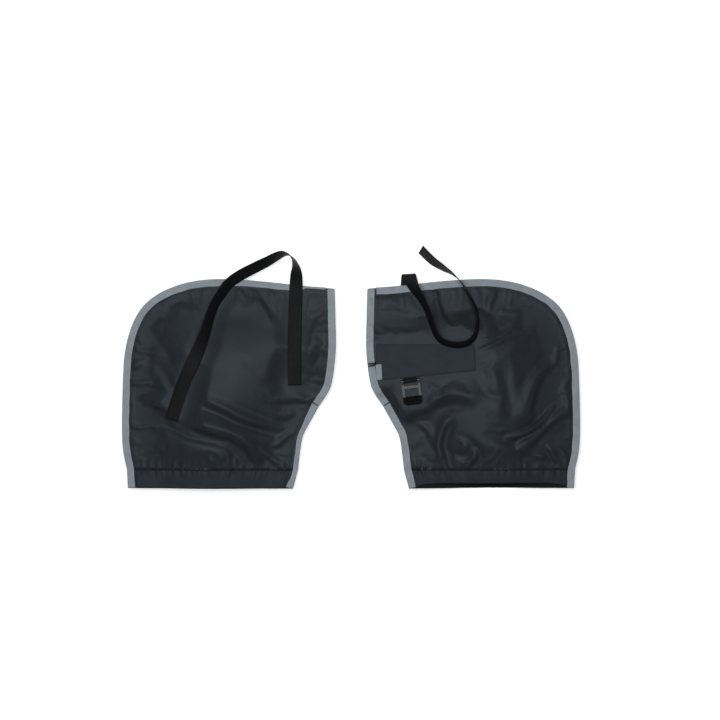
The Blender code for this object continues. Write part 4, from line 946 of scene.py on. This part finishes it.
def stitched(name, piece, rows, up, tree, body):
    """Sews rows of thread on the side of a piece that up points out of."""
    surface = cloth_tree(piece)
    up = Vector(up)
    spots = []
    edges = []
    for row in rows:
        row = respaced(np.array(row), 0.002)
        edges += [(len(spots) + k, len(spots) + k + 1) for k in range(len(row) - 1)]
        for spot in row:
            hit = surface.ray_cast(Vector(spot) + up * SEEK_FROM, -up, SEEK_DEPTH)[0]
            spots.append((hit or surface.find_nearest(Vector(spot))[0]) + up * THREAD * THREAD_UP)
    seam = bpy.data.meshes.new(name)
    seam.from_pydata(spots, edges, [])
    seam.attributes.new("up", "FLOAT_VECTOR", "POINT").data.foreach_set("vector", list(up) * len(spots))
    obj = bpy.data.objects.new(name, seam)
    bpy.context.scene.collection.objects.link(obj)
    sewing = obj.modifiers.new("sewing", "NODES")
    sewing.node_group = tree
    for item in tree.interface.items_tree:
        if item.name == "Pitch" and item.in_out == "INPUT":
            sewing[item.identifier] = STITCH
    made = bpy.data.meshes.new_from_object(obj.evaluated_get(bpy.context.evaluated_depsgraph_get()))
    obj.modifiers.remove(sewing)
    obj.data = made
    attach(obj, body)


ribbed_tape = grosgrain()
grey_seam = row_of_stitches(thread_material("grey_sewing_thread", "a9b2ba"))
black_seam = row_of_stitches(thread_material("black_sewing_thread", "1a1c1e"))
tape_section = fold_section(BINDING_LIP, EDGE_HALF + GAP)
for muff in TURNS:
    for name, line in sewn_edges.items():
        line = respaced(line, TAPE_STEP)
        if name == "outer":
            line = line[travel(line) > BINDING_LIP + BINDING_CLEAR]
        inwards = left_of(line)
        far = travel(line)
        rings = []
        wobble = puckers(far, TAPE_SEEDS[muff], 0.018, 0.07)
        for k, (place, normal) in enumerate(zip(line, inwards)):
            section = tape_section.copy()
            section[section[:, 0] < -0.004, 0] += wobble[k] * TAPE_WOBBLE
            if muff == "left":
                if name == "outer":
                    shown = 0.25 + 0.75 * smooth_share((far[k] - ROLLED_BACK) / 0.014)
                    shown *= 0.86 + 0.14 * smooth_share((far[k] - 0.13) / 0.03)
                else:
                    shown = 1 - SLIM_SIDE * smooth_share((far[-1] - far[k]) / 0.05) * smooth_share(far[k] / 0.02)
                section[(section[:, 1] > 0) & (section[:, 0] < 0), 0] *= shown
            flat = place - np.outer(section[:, 0], normal)
            rings.append(to_world(muff, flat, section[:, 1]))
        tape = swept(f"{muff}_{name}_tape", rings, travel(tape_section), far, ribbed_tape)
        for word, spot, up in (("top", 1, 1), ("under", 19, -1)):
            row = [ring[spot] * 0.5 + ring[spot + up] * 0.5 for ring in rings[1:-1]]
            stitched(f"{muff}_{name}_{word}_stitches", tape, [row], (0, 0, TURNS[muff] * up), grey_seam, "shells")
        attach(tape, "shells")
        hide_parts(f"{muff}_binding_{name}")


def cloth_level(tree, x, y, fallback):
    """The height of a cloth above or below a spot, seen straight down, or of its nearest point."""
    hit = tree.ray_cast(Vector((x, y, 1)), Vector((0, 0, -1)))[0]
    return hit.z if hit else tree.find_nearest(Vector((x, y, fallback)))[0].z


LIP_START = 0.0008
LIP_LOOSE = 0.0003
LIP_SLIM = 0.72
LIP_SLIM_EASE = 0.006
BESIDE_SLIT = 0.0012
neck_far = travel(neck_edge)
neck_length = neck_far[-1]
neck_down = (neck_edge - flap_root) @ flap_down
slit_at = sorted(neck_far[np.argmin(abs(neck_down - edge))] for edge in SLIT)
lips = {
    "a": {"neck_a": (LIP_START, neck_length)},
    "b": {
        "neck_b_lower": (LIP_START, slit_at[0] - BESIDE_SLIT),
        "neck_b_upper": (slit_at[1] + BESIDE_SLIT, neck_length),
    },
}
lip_section = fold_section(BINDING_LIP, CLOTH / 2 + GAP + LIP_LOOSE)
for muff, turn in TURNS.items():
    for letter, side in SIDES.items():
        tree = cloth_tree(faces[muff, letter])
        for name, (start, end) in lips[letter].items():
            stations = np.linspace(start, end, round((end - start) / TAPE_STEP) + 1)
            line = at_stations(neck_edge, neck_far, stations)
            inwards = left_of(line)
            rings = []
            for place, normal, station in zip(line, inwards, stations):
                from_end = min(station, neck_length - station)
                slim = LIP_SLIM + (1 - LIP_SLIM) * smooth_share((from_end - BINDING_LIP) / LIP_SLIM_EASE)
                flat = place - np.outer(lip_section[:, 0], normal)
                over = place + np.outer(np.maximum(-lip_section[:, 0], 0.0002), normal)
                spots = to_world(muff, over, np.zeros(len(over)))
                levels = np.array([cloth_level(tree, x, y, z) for x, y, z in spots])
                inner = -turn * side * CLOTH / 2
                ring = to_world(muff, flat, np.zeros(len(flat)))
                ring[:, 2] = levels + inner + turn * side * lip_section[:, 1] * slim
                rings.append(ring)
            tape = swept(f"{muff}_{name}_tape", rings, travel(lip_section), stations, ribbed_tape)
            row = [ring[1] * 0.5 + ring[2] * 0.5 for ring in rings[1:-1]]
            stitched(f"{muff}_{name}_stitches", tape, [row], (0, 0, turn * side), grey_seam, "shells")
            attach(tape, "shells")
            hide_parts(f"{muff}_binding_{name}")


# Cuffs. Each lip of the wrist opening is a folded casing of the same cloth, faced with fleece on its inside,
# and sewn to the face. An elastic tape in it gathers the seam into small ruffles.
ELASTIC = 0.0007
FLEECE = 0.0016
ELASTIC_WIDTH = 0.0150
HEM_SETBACK = 0.009
CUFF_STEP = 0.0016
SEAM_TUCK = 0.0016
CUFF_FLAT = 0.0015
CUFF_FULLER = 0.0010
CUFF_SWELL = 0.0008
GATHER_REACH = 0.009
HEM_WAVE = 0.0009
HEM_WAVES = (0.03, 0.11)
HEM_SEED = 31
CUFF_OFF_TABLE = 0.0001
UNDER_FACE = 0.0004
# Points across a leaf of the casing. The inside leaf is faced with fleece, between these points of the section.
LEAF_POINTS = 9
FACED = (13, 22)


def matt_taffeta():
    """The cuffs' and the flap's cloth is the same taffeta, rubbed dull, so its sheen is broader."""
    material, tree, shader, _, weave, mottle = taffeta_weave(
        "brushed_polyester_taffeta", 0.6, 0.13, {"Scale": 55, "Detail": 4}
    )
    surfaced(tree, shader, mottle.outputs[0], ("1e2227", "292e35"), weave.outputs[0], 0.25, 0.0003)
    return material


def black_fleece():
    """Short-pile polyester fleece: black, matt and slightly hairy, so it takes in nearly all light."""
    material, tree, shader = new_material("short_pile_fleece", 0.95, {"Specular IOR Level": 0.1})
    shader.inputs["Sheen Weight"].default_value = 0.12
    shader.inputs["Sheen Roughness"].default_value = 0.6
    spread = node(tree, "ShaderNodeTexCoord").outputs["Object"]
    pile = node(tree, "ShaderNodeTexNoise", {"Scale": 700, "Detail": 4, "Roughness": 0.7}, {0: spread})
    clumps = node(tree, "ShaderNodeTexVoronoi", {"Scale": 220}, {0: spread})
    level = node(
        tree, "ShaderNodeMath", {"operation": "MULTIPLY_ADD", 1: 0.5}, {0: clumps.outputs[0], 2: pile.outputs[0]}
    )
    surfaced(tree, shader, level.outputs[0], ("070707", "151414"), level.outputs[0], 0.8, 0.0008)
    return material


def woven_elastic():
    """Knitted elastic tape: off-white, matt, with fine ribs along it. It is closed inside the casings."""
    material, tree, shader = new_material("knitted_elastic", 0.8, {"Specular IOR Level": 0.3})
    ribs = wave(tree, tape_place(tree)[0], 0.0012)
    surfaced(tree, shader, ribs, ("b9b6ad", "dedbd2"), ribs, 0.5, 0.0004)
    return material


braided_elastic = woven_elastic()
dull_taffeta = matt_taffeta()
fleece = black_fleece()
cuff_run = respaced(np.array([top_and_outer[-1], side_seam[0]]), CUFF_STEP)
hem_run = respaced(np.array([OUTER_HEM, INNER_HEM]), CUFF_STEP)
even, hem_even = (np.linspace(0, 1, len(run)) for run in (cuff_run, hem_run))
hem_run = at_stations(hem_run, hem_even, even)
cuff_far = travel(cuff_run)
hem_turn = np.linspace(math.pi / 2, -math.pi / 2, 7)[1:-1]
hem_bend = np.column_stack([np.cos(hem_turn), np.sin(hem_turn)])
for muff, turn in TURNS.items():
    for letter, side in SIDES.items():
        up = turn * side > 0
        outwards = 1 if up else -1
        tree = cloth_tree(faces[muff, letter])
        setback = HEM_SETBACK if up and turn < 0 else 0
        ruffle = puckers(cuff_far, MUFF_SEEDS[muff] + CUFF_SEED, *CUFF_WAVES) * CUFF_RUFFLE
        long_wave = puckers(cuff_far, MUFF_SEEDS[muff] + HEM_SEED, *HEM_WAVES) * HEM_WAVE
        rings = []
        elastic_rings = []
        for k, (seam, hem) in enumerate(zip(cuff_run, hem_run)):
            across = 2 * k / (len(cuff_run) - 1) - 1
            hem = hem + (seam - hem) * (1 - across**6) * setback / np.hypot(*(seam - hem))
            down = (hem - seam) / np.hypot(*(hem - seam))
            held = smooth_share((min(cuff_far[k], cuff_far[-1] - cuff_far[k]) - BINDING_LIP) / 0.006)
            depth = CUFF_FLAT + CUFF_FULLER * held
            radius = depth / 2
            leaf = np.hypot(*(seam - hem)) - radius
            drops = np.linspace(0, leaf, LEAF_POINTS)
            drops[0] = GAP
            flat = seam + drops[:, None] * down
            heights = from_seam(flat, up, side < 0)
            share = drops / leaf
            swellings = CUFF_SWELL * np.sin(math.pi * share)
            ease = ruffle[k] * np.exp(-((drops / GATHER_REACH) ** 2)) + long_wave[k] * share
            heights = heights + (ease + swellings) * held
            if not up:
                heights = np.minimum(heights, SEAM_LEVEL - CUFF_OFF_TABLE)
            fold = (leaf, heights[-1] - radius)
            turned = fold + hem_bend * radius
            hollow = fold + hem_bend[::-1] * (radius - CLOTH)
            outer = np.column_stack([drops, heights])
            inner = outer - (0, depth)
            tucked = to_world(muff, np.array([seam - SEAM_TUCK * down]), np.zeros(1))[0]
            roof = (cloth_level(tree, tucked[0], tucked[1], tucked[2]) - SEAM_LEVEL) * turn * side
            outer[0] = (GAP - SEAM_TUCK * held, outer[0, 1] - (CLOTH + 0.0003) * held)
            outer[0, 1] = min(outer[0, 1], roof - (CLOTH if up else 0) - UNDER_FACE)
            ring = np.vstack([outer, turned, inner[::-1], inner + (0, CLOTH), hollow, (outer - (0, CLOTH))[::-1]])
            flat = seam + ring[:, :1] * down
            rings.append(to_world(muff, flat, side * ring[:, 1]))
            if held > 0.99:
                spots = np.linspace((leaf - ELASTIC_WIDTH) / 2, (leaf + ELASTIC_WIDTH) / 2, 4)
                tops = np.interp(spots, drops, heights) - CLOTH - GAP
                strip = np.vstack([np.column_stack([spots, tops]), np.column_stack([spots, tops - ELASTIC])[::-1]])
                elastic_rings.append(to_world(muff, seam + strip[:, :1] * down, side * strip[:, 1]))
        size = len(rings[0])
        band = swept(f"{muff}_cuff_{letter}", rings, np.linspace(0, 0.06, size), cuff_far, dull_taffeta)
        band.data.materials.append(fleece)
        for face in band.data.polygons:
            numbers = [corner % size for corner in face.vertices]
            if len(numbers) == 4 and FACED[0] <= min(numbers) and max(numbers) <= FACED[1]:
                face.material_index = 1
        row = [ring[0] * 0.52 + ring[1] * 0.48 for ring in rings[9:-9]]
        stitched(f"{muff}_cuff_{letter}_stitches", band, [row], (0, 0, outwards), black_seam, "shells")
        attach(band, "shells")
        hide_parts(f"{muff}_cuff_band_{letter}")
        width = np.linspace(0, ELASTIC_WIDTH, 4)
        around = np.concatenate([width, width + ELASTIC_WIDTH])
        far = travel(np.array([ring[0] for ring in elastic_rings]))
        elastic = swept(f"{muff}_cuff_elastic_{letter}", elastic_rings, around, far, braided_elastic)
        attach(elastic, "shells")
        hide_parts(f"{muff}_elastic_{letter}")


# Flap. A strip of the outer cloth covers the slit. Its upper part is sewn down and its lower part can lift at the
# crease, and its neck end is bound with the grey tape. The panel is made as one piece; only its lower rows of
# stitches and the tape are hung on the flap's body.
FLAP_CLOTH = 0.0008
FACING_TOP = [(0, -0.0089, 0.0007), (0.1445, -0.0283, 0.0007)]
FLAP_CREASE = [(0, 0, 0.0033), (0.1483, 0, 0.0033)]
FLAP_EDGE = [(0.0030, 0.0298, 0.0033), (0.1501, 0.0254, 0.0033)]
FOLD_REACH = 0.0022
QUILT_STEP = 0.0022
SOFT_RIM = 0.0009
SOFT_THIN = 0.35
RIPPLE_EDGE = 0.004
PRESSED_HALF = 0.0012
# How steeply the facing's upper edge and the flap's lower edge climb towards the neck
TOP_SLOPE = 0.1343
LOW_SLOPE = 0.0299
FLAP_BINDING_START = 0.0016
FLAP_BINDING_LIP = 0.008


def flap_frame(muff):
    """A frame on the flat ground of the slit face: along the crease, down to the cuff, and outwards."""
    turn = TURNS[muff]
    corners = np.array([flap_root, flap_root + flap_along * FLAP_LENGTH, flap_root + flap_down * FLAP_LENGTH])
    levels = -from_seam(corners, turn < 0, True)
    root, neck_end, low_end = to_world(muff, corners, levels)
    along = Vector(neck_end - root).normalized()
    low_end[2] = root[2]
    down = Vector(low_end - root).normalized()
    frame = Matrix((along, down, along.cross(down))).transposed().to_4x4()
    frame.translation = Vector(root)
    return frame


def quilt(name, matrix, bands, thick, material, ripple=0.0, score=0.0):
    """A panel of doubled cloth with soft edges. It runs through bands, each a left and a right end in the frame.
    The ripple is the height of slow waves over the panel, and the score is the depth of the line pressed along
    each inner band."""
    bands = np.array(bands, float)
    length = np.linalg.norm(bands[0, 1] - bands[0, 0])
    far = travel(bands.mean(axis=1))
    soft = np.array([0, 0.0003, SOFT_RIM])
    across = np.linspace(QUILT_STEP, length - QUILT_STEP, round(length / QUILT_STEP))
    across = np.concatenate([soft, across, length - soft[::-1]]) / length
    downs = np.linspace(QUILT_STEP, far[-1] - QUILT_STEP, max(3, round(far[-1] / QUILT_STEP)))
    downs = np.unique(np.concatenate([soft, downs, far[1:-1], far[-1] - soft[::-1]]))
    points = []
    for sign in (1, -1):
        for down in downs:
            ends = np.array([[np.interp(down, far, bands[:, end, axis]) for axis in range(3)] for end in (0, 1)])
            for u in across:
                rim = min(u * length, (1 - u) * length, down, far[-1] - down)
                puff = thick / 2 * (SOFT_THIN + (1 - SOFT_THIN) * math.sqrt(min(rim / SOFT_RIM, 1)))
                swell = ripple * math.sin(u * 23 + down * 90) * math.sin(down * 210 + u * 9 + 1)
                swell *= min(rim / RIPPLE_EDGE, 1)
                swell -= score * sum(math.exp(-((down - line) / PRESSED_HALF) ** 2) for line in far[1:-1])
                spot = ends[0] * (1 - u) + ends[1] * u
                points.append(matrix @ Vector((spot[0], spot[1], spot[2] + swell + sign * puff)))
    row = len(across)
    layer = row * len(downs)
    faces = []
    for j in range(len(downs) - 1):
        for i in range(row - 1):
            a = j * row + i
            faces.append((a, a + 1, a + row + 1, a + row))
            faces.append((a + layer, a + layer + row, a + layer + row + 1, a + layer + 1))
    rim = list(range(row)) + [j * row + row - 1 for j in range(1, len(downs))]
    rim += [layer - 1 - i for i in range(1, row)] + [j * row for j in range(len(downs) - 2, 0, -1)]
    for a, b in zip(rim, rim[1:] + rim[:1]):
        faces.append((b, a, a + layer, b + layer))
    obj = mesh_object(name, points, faces, material)
    face_outwards(obj)
    return obj


flap_frames = {}
for muff in TURNS:
    matrix = flap_frame(muff)
    flap_frames[muff] = matrix
    bands = [FACING_TOP, FLAP_CREASE, FLAP_EDGE]
    panel = quilt(f"{muff}_flap_panel", matrix, bands, FLAP_CLOTH, dull_taffeta, ripple=0.0003, score=0.0005)
    middle = FLAP_LENGTH / 2
    fold = [matrix @ Vector((middle, down, FLAP_CREASE[0][2])) for down in (-FOLD_REACH, FOLD_REACH)]
    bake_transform(panel)
    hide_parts(f"{muff}_flap_facing", f"{muff}_flap")
    # Rows of stitches run beside the edges, on the part that lies still and on the part that lifts
    up = matrix.to_3x3() @ Vector((0, 0, 1))
    top = [matrix @ Vector((x, -0.0063 - TOP_SLOPE * x, 0.002)) for x in (0.0030, 0.1420)]
    inner = [matrix @ Vector((0.0026, y, 0.003)) for y in (-0.0060, -FOLD_REACH)]
    stitched(f"{muff}_flap_facing_stitches", panel, [top, inner], up, black_seam, "shells")
    inner = [matrix @ Vector((0.0026 + 0.10 * y, y, 0.004)) for y in (FOLD_REACH, 0.0265)]
    low = [matrix @ Vector((x, 0.0269 - LOW_SLOPE * x, 0.004)) for x in (0.0055, 0.1400)]
    stitched(f"{muff}_flap_stitches", panel, [inner, low], up, black_seam, f"{muff}_flap_body")
    section = fold_section(FLAP_BINDING_LIP, FLAP_CLOTH / 2 + GAP)
    ends = respaced(np.array([FLAP_CREASE[1], FLAP_EDGE[1]]), 0.002)
    ends = ends[np.hypot(*(ends - ends[0])[:, :2].T) >= FLAP_BINDING_START]
    rings = [[matrix @ Vector((x + out, y, z + level)) for out, level in section] for x, y, z in ends]
    tape = swept(f"{muff}_flap_tape", rings, travel(section), travel(ends), ribbed_tape)
    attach(tape, f"{muff}_flap_body")
    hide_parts(f"{muff}_flap_binding")


# Buckle tab. A short webbing loop is sewn to the slit face under the flap, and goes round the buckle's bar.
TAB_START = 0.0170
BAR_BELOW_CREASE = 0.0323
WEBBING = 0.0010
TAB_LOW = 0.0008
TAB_HIGH = 0.0021
TAB_RADIUS = 0.0024
BAR_HEIGHT = 0.0032
for muff in TURNS:
    turns = np.radians(np.linspace(-90, 190, 36))
    route = [(down, TAB_LOW) for down in np.linspace(TAB_START, BAR_BELOW_CREASE, 8)[:-1]]
    route += [(BAR_BELOW_CREASE + TAB_RADIUS * math.cos(t), BAR_HEIGHT + TAB_RADIUS * math.sin(t)) for t in turns]
    route += [(down, TAB_HIGH) for down in np.linspace(BAR_BELOW_CREASE - TAB_RADIUS - WEBBING, TAB_START, 8)]
    middles = np.array([flap_frames[muff] @ Vector((BUCKLE_ALONG, down, height)) for down, height in route])
    across = np.tile(np.array(flap_frames[muff].to_3x3() @ Vector((1, 0, 0))), (len(middles), 1))
    tab = ribbon(f"{muff}_buckle_webbing", middles, across, WEBBING_WIDTH, WEBBING, woven_webbing)
    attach(tab, "shells")
    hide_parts(f"{muff}_buckle_tab")


# Box stitches. The strap's lower end is sewn to the strap face with rows across it and along its edges.
BOX_ROWS = (0.0022, 0.0340, 0.0520)
BOX_EDGE = 0.0022
for muff in STRAP_ROUTES:
    line = strap_line(muff, WEBBING_STEP)
    far = travel(line[:, :3])
    rows = []
    for place in BOX_ROWS:
        spot = np.array([np.interp(place, far, column) for column in line.T])
        aside = spot[3:] / np.linalg.norm(spot[3:]) * (WEBBING_WIDTH / 2 - BOX_EDGE)
        rows.append([spot[:3] - aside, spot[:3] + aside])
    rows += [[rows[0][end], rows[1][end]] for end in (0, 1)]
    stitched(f"{muff}_strap_stitches", straps[muff], rows, (0, 0, TURNS[muff]), black_seam, "shells")


# Buckles. Each is a ladder-lock moulded in one piece from black acetal, glossy, with a ribbed grip.
acetal, _, acetal_shader = new_material("moulded_acetal", 0.26, {"Specular IOR Level": 0.24, "IOR": 1.48})
acetal_shader.inputs["Base Color"].default_value = linear("060607")
for muff in TURNS:
    buckle = cad[f"{muff}_buckle"]
    buckle.data.materials.clear()
    buckle.data.materials.append(acetal)


# Linings. Black fleece is sewn in behind each face, and slit like it. It shows through the neck opening and
# the cuffs.
LINING_NECK_CLEAR = 0.0112


def doubled(name, tops, bottoms, triangles, material):
    """A closed sheet between two layers of the same points."""
    count = len(tops)
    sides = {}
    for a, b, c in triangles:
        for start, end in ((a, b), (b, c), (c, a)):
            if (end, start) in sides:
                del sides[end, start]
            else:
                sides[start, end] = True
    solid = [tuple(t) for t in triangles] + [(c + count, b + count, a + count) for a, b, c in triangles]
    solid += [(a, a + count, b + count, b) for a, b in sides]
    return mesh_object(name, [*tops, *bottoms], solid, material)


for (muff, letter), cloth in faces.items():
    up = TURNS[muff] * SIDES[letter] > 0
    plan_points = face_points[muff, letter]
    places = np.array([tuple(vertex.co) for vertex in cloth.data.vertices])
    normals = np.array([tuple(vertex.normal) for vertex in cloth.data.vertices])
    distance = np.minimum(*from_edges(plan_points))
    clear = nearest(plan_points, neck_edge)[0] > LINING_NECK_CLEAR
    clear &= nearest(plan_points, cuff_line)[0] > SEAM_TUCK + GAP
    triangles = np.array([tuple(face.vertices) for face in cloth.data.polygons])
    used, triangles = renumbered(triangles[clear[triangles].all(axis=1)], len(places))
    thick = CLOTH + (FLEECE - CLOTH) * smooth_share((distance - FLANGE) / (BODY_START - FLANGE))
    tops = places - normals * (CLOTH + GAP)
    bottoms = places - normals * (CLOTH + GAP + thick)[:, None]
    for layer, least in ((tops, GAP / 2 + CLOTH), (bottoms, GAP / 2)):
        levels = (layer[:, 2] - SEAM_LEVEL) * (1 if up else -1)
        layer[:, 2] = SEAM_LEVEL + np.maximum(levels, least) * (1 if up else -1)
    lining = doubled(f"{muff}_lining_{letter}_fleece", tops[used], bottoms[used], triangles, fleece)
    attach(lining, "shells")
    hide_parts(f"{muff}_lining_{letter}")


# Hook and loop tapes. The hook tape is sewn under the flap and the loop tape on the face below the slit. Both
# are knitted nylon, and only show when the flap is lifted.
HOOK_TAPE = 0.0010
HOOK_INSET = 0.006
HOOK_DROP = 0.0035
HOOK_WIDTH = 0.012
HOOK_LEVEL = 0.0016


def hook_and_loop(name, scale, strength):
    """Black nylon tape: a matt ground under fine hooks, or a cushion of loops, as lumpy bumps."""
    material, tree, shader = new_material(name, 0.7, {"Specular IOR Level": 0.3})
    spread = node(tree, "ShaderNodeTexCoord")
    lumps = node(tree, "ShaderNodeTexVoronoi", {"Scale": scale}, {0: spread.outputs["Object"]})
    surfaced(tree, shader, lumps.outputs[0], ("202225", "0c0c0d"), lumps.outputs[0], strength, 0.0006)
    return material


hooks = hook_and_loop("nylon_hook_tape", 1300, 0.9)
loops = hook_and_loop("nylon_loop_tape", 700, 0.7)
tape_end = FLAP_LENGTH - FLAP_BINDING_LIP - HOOK_INSET
for muff in TURNS:
    for kind, material, level, body in (
        ("loop", loops, GAP + HOOK_TAPE / 2, "shells"),
        ("hook", hooks, HOOK_LEVEL + HOOK_TAPE / 2, f"{muff}_flap_body"),
    ):
        bands = [[(x, y, level) for x in (HOOK_INSET, tape_end)] for y in (HOOK_DROP, HOOK_DROP + HOOK_WIDTH)]
        tape = quilt(f"{muff}_{kind}_strip", flap_frames[muff], bands, HOOK_TAPE, material)
        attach(tape, body)
        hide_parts(f"{muff}_{kind}_tape")


# Outer cloth, finished. The linings took their shape from the faces while those were single sheets. Now the
# faces get the cloth's thickness, inwards.
for (muff, letter), cloth in faces.items():
    skin = cloth.modifiers.new("thickness", "SOLIDIFY")
    skin.thickness = CLOTH
    skin.offset = -1
    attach(cloth, "shells")
    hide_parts(f"{muff}_face_{letter}")
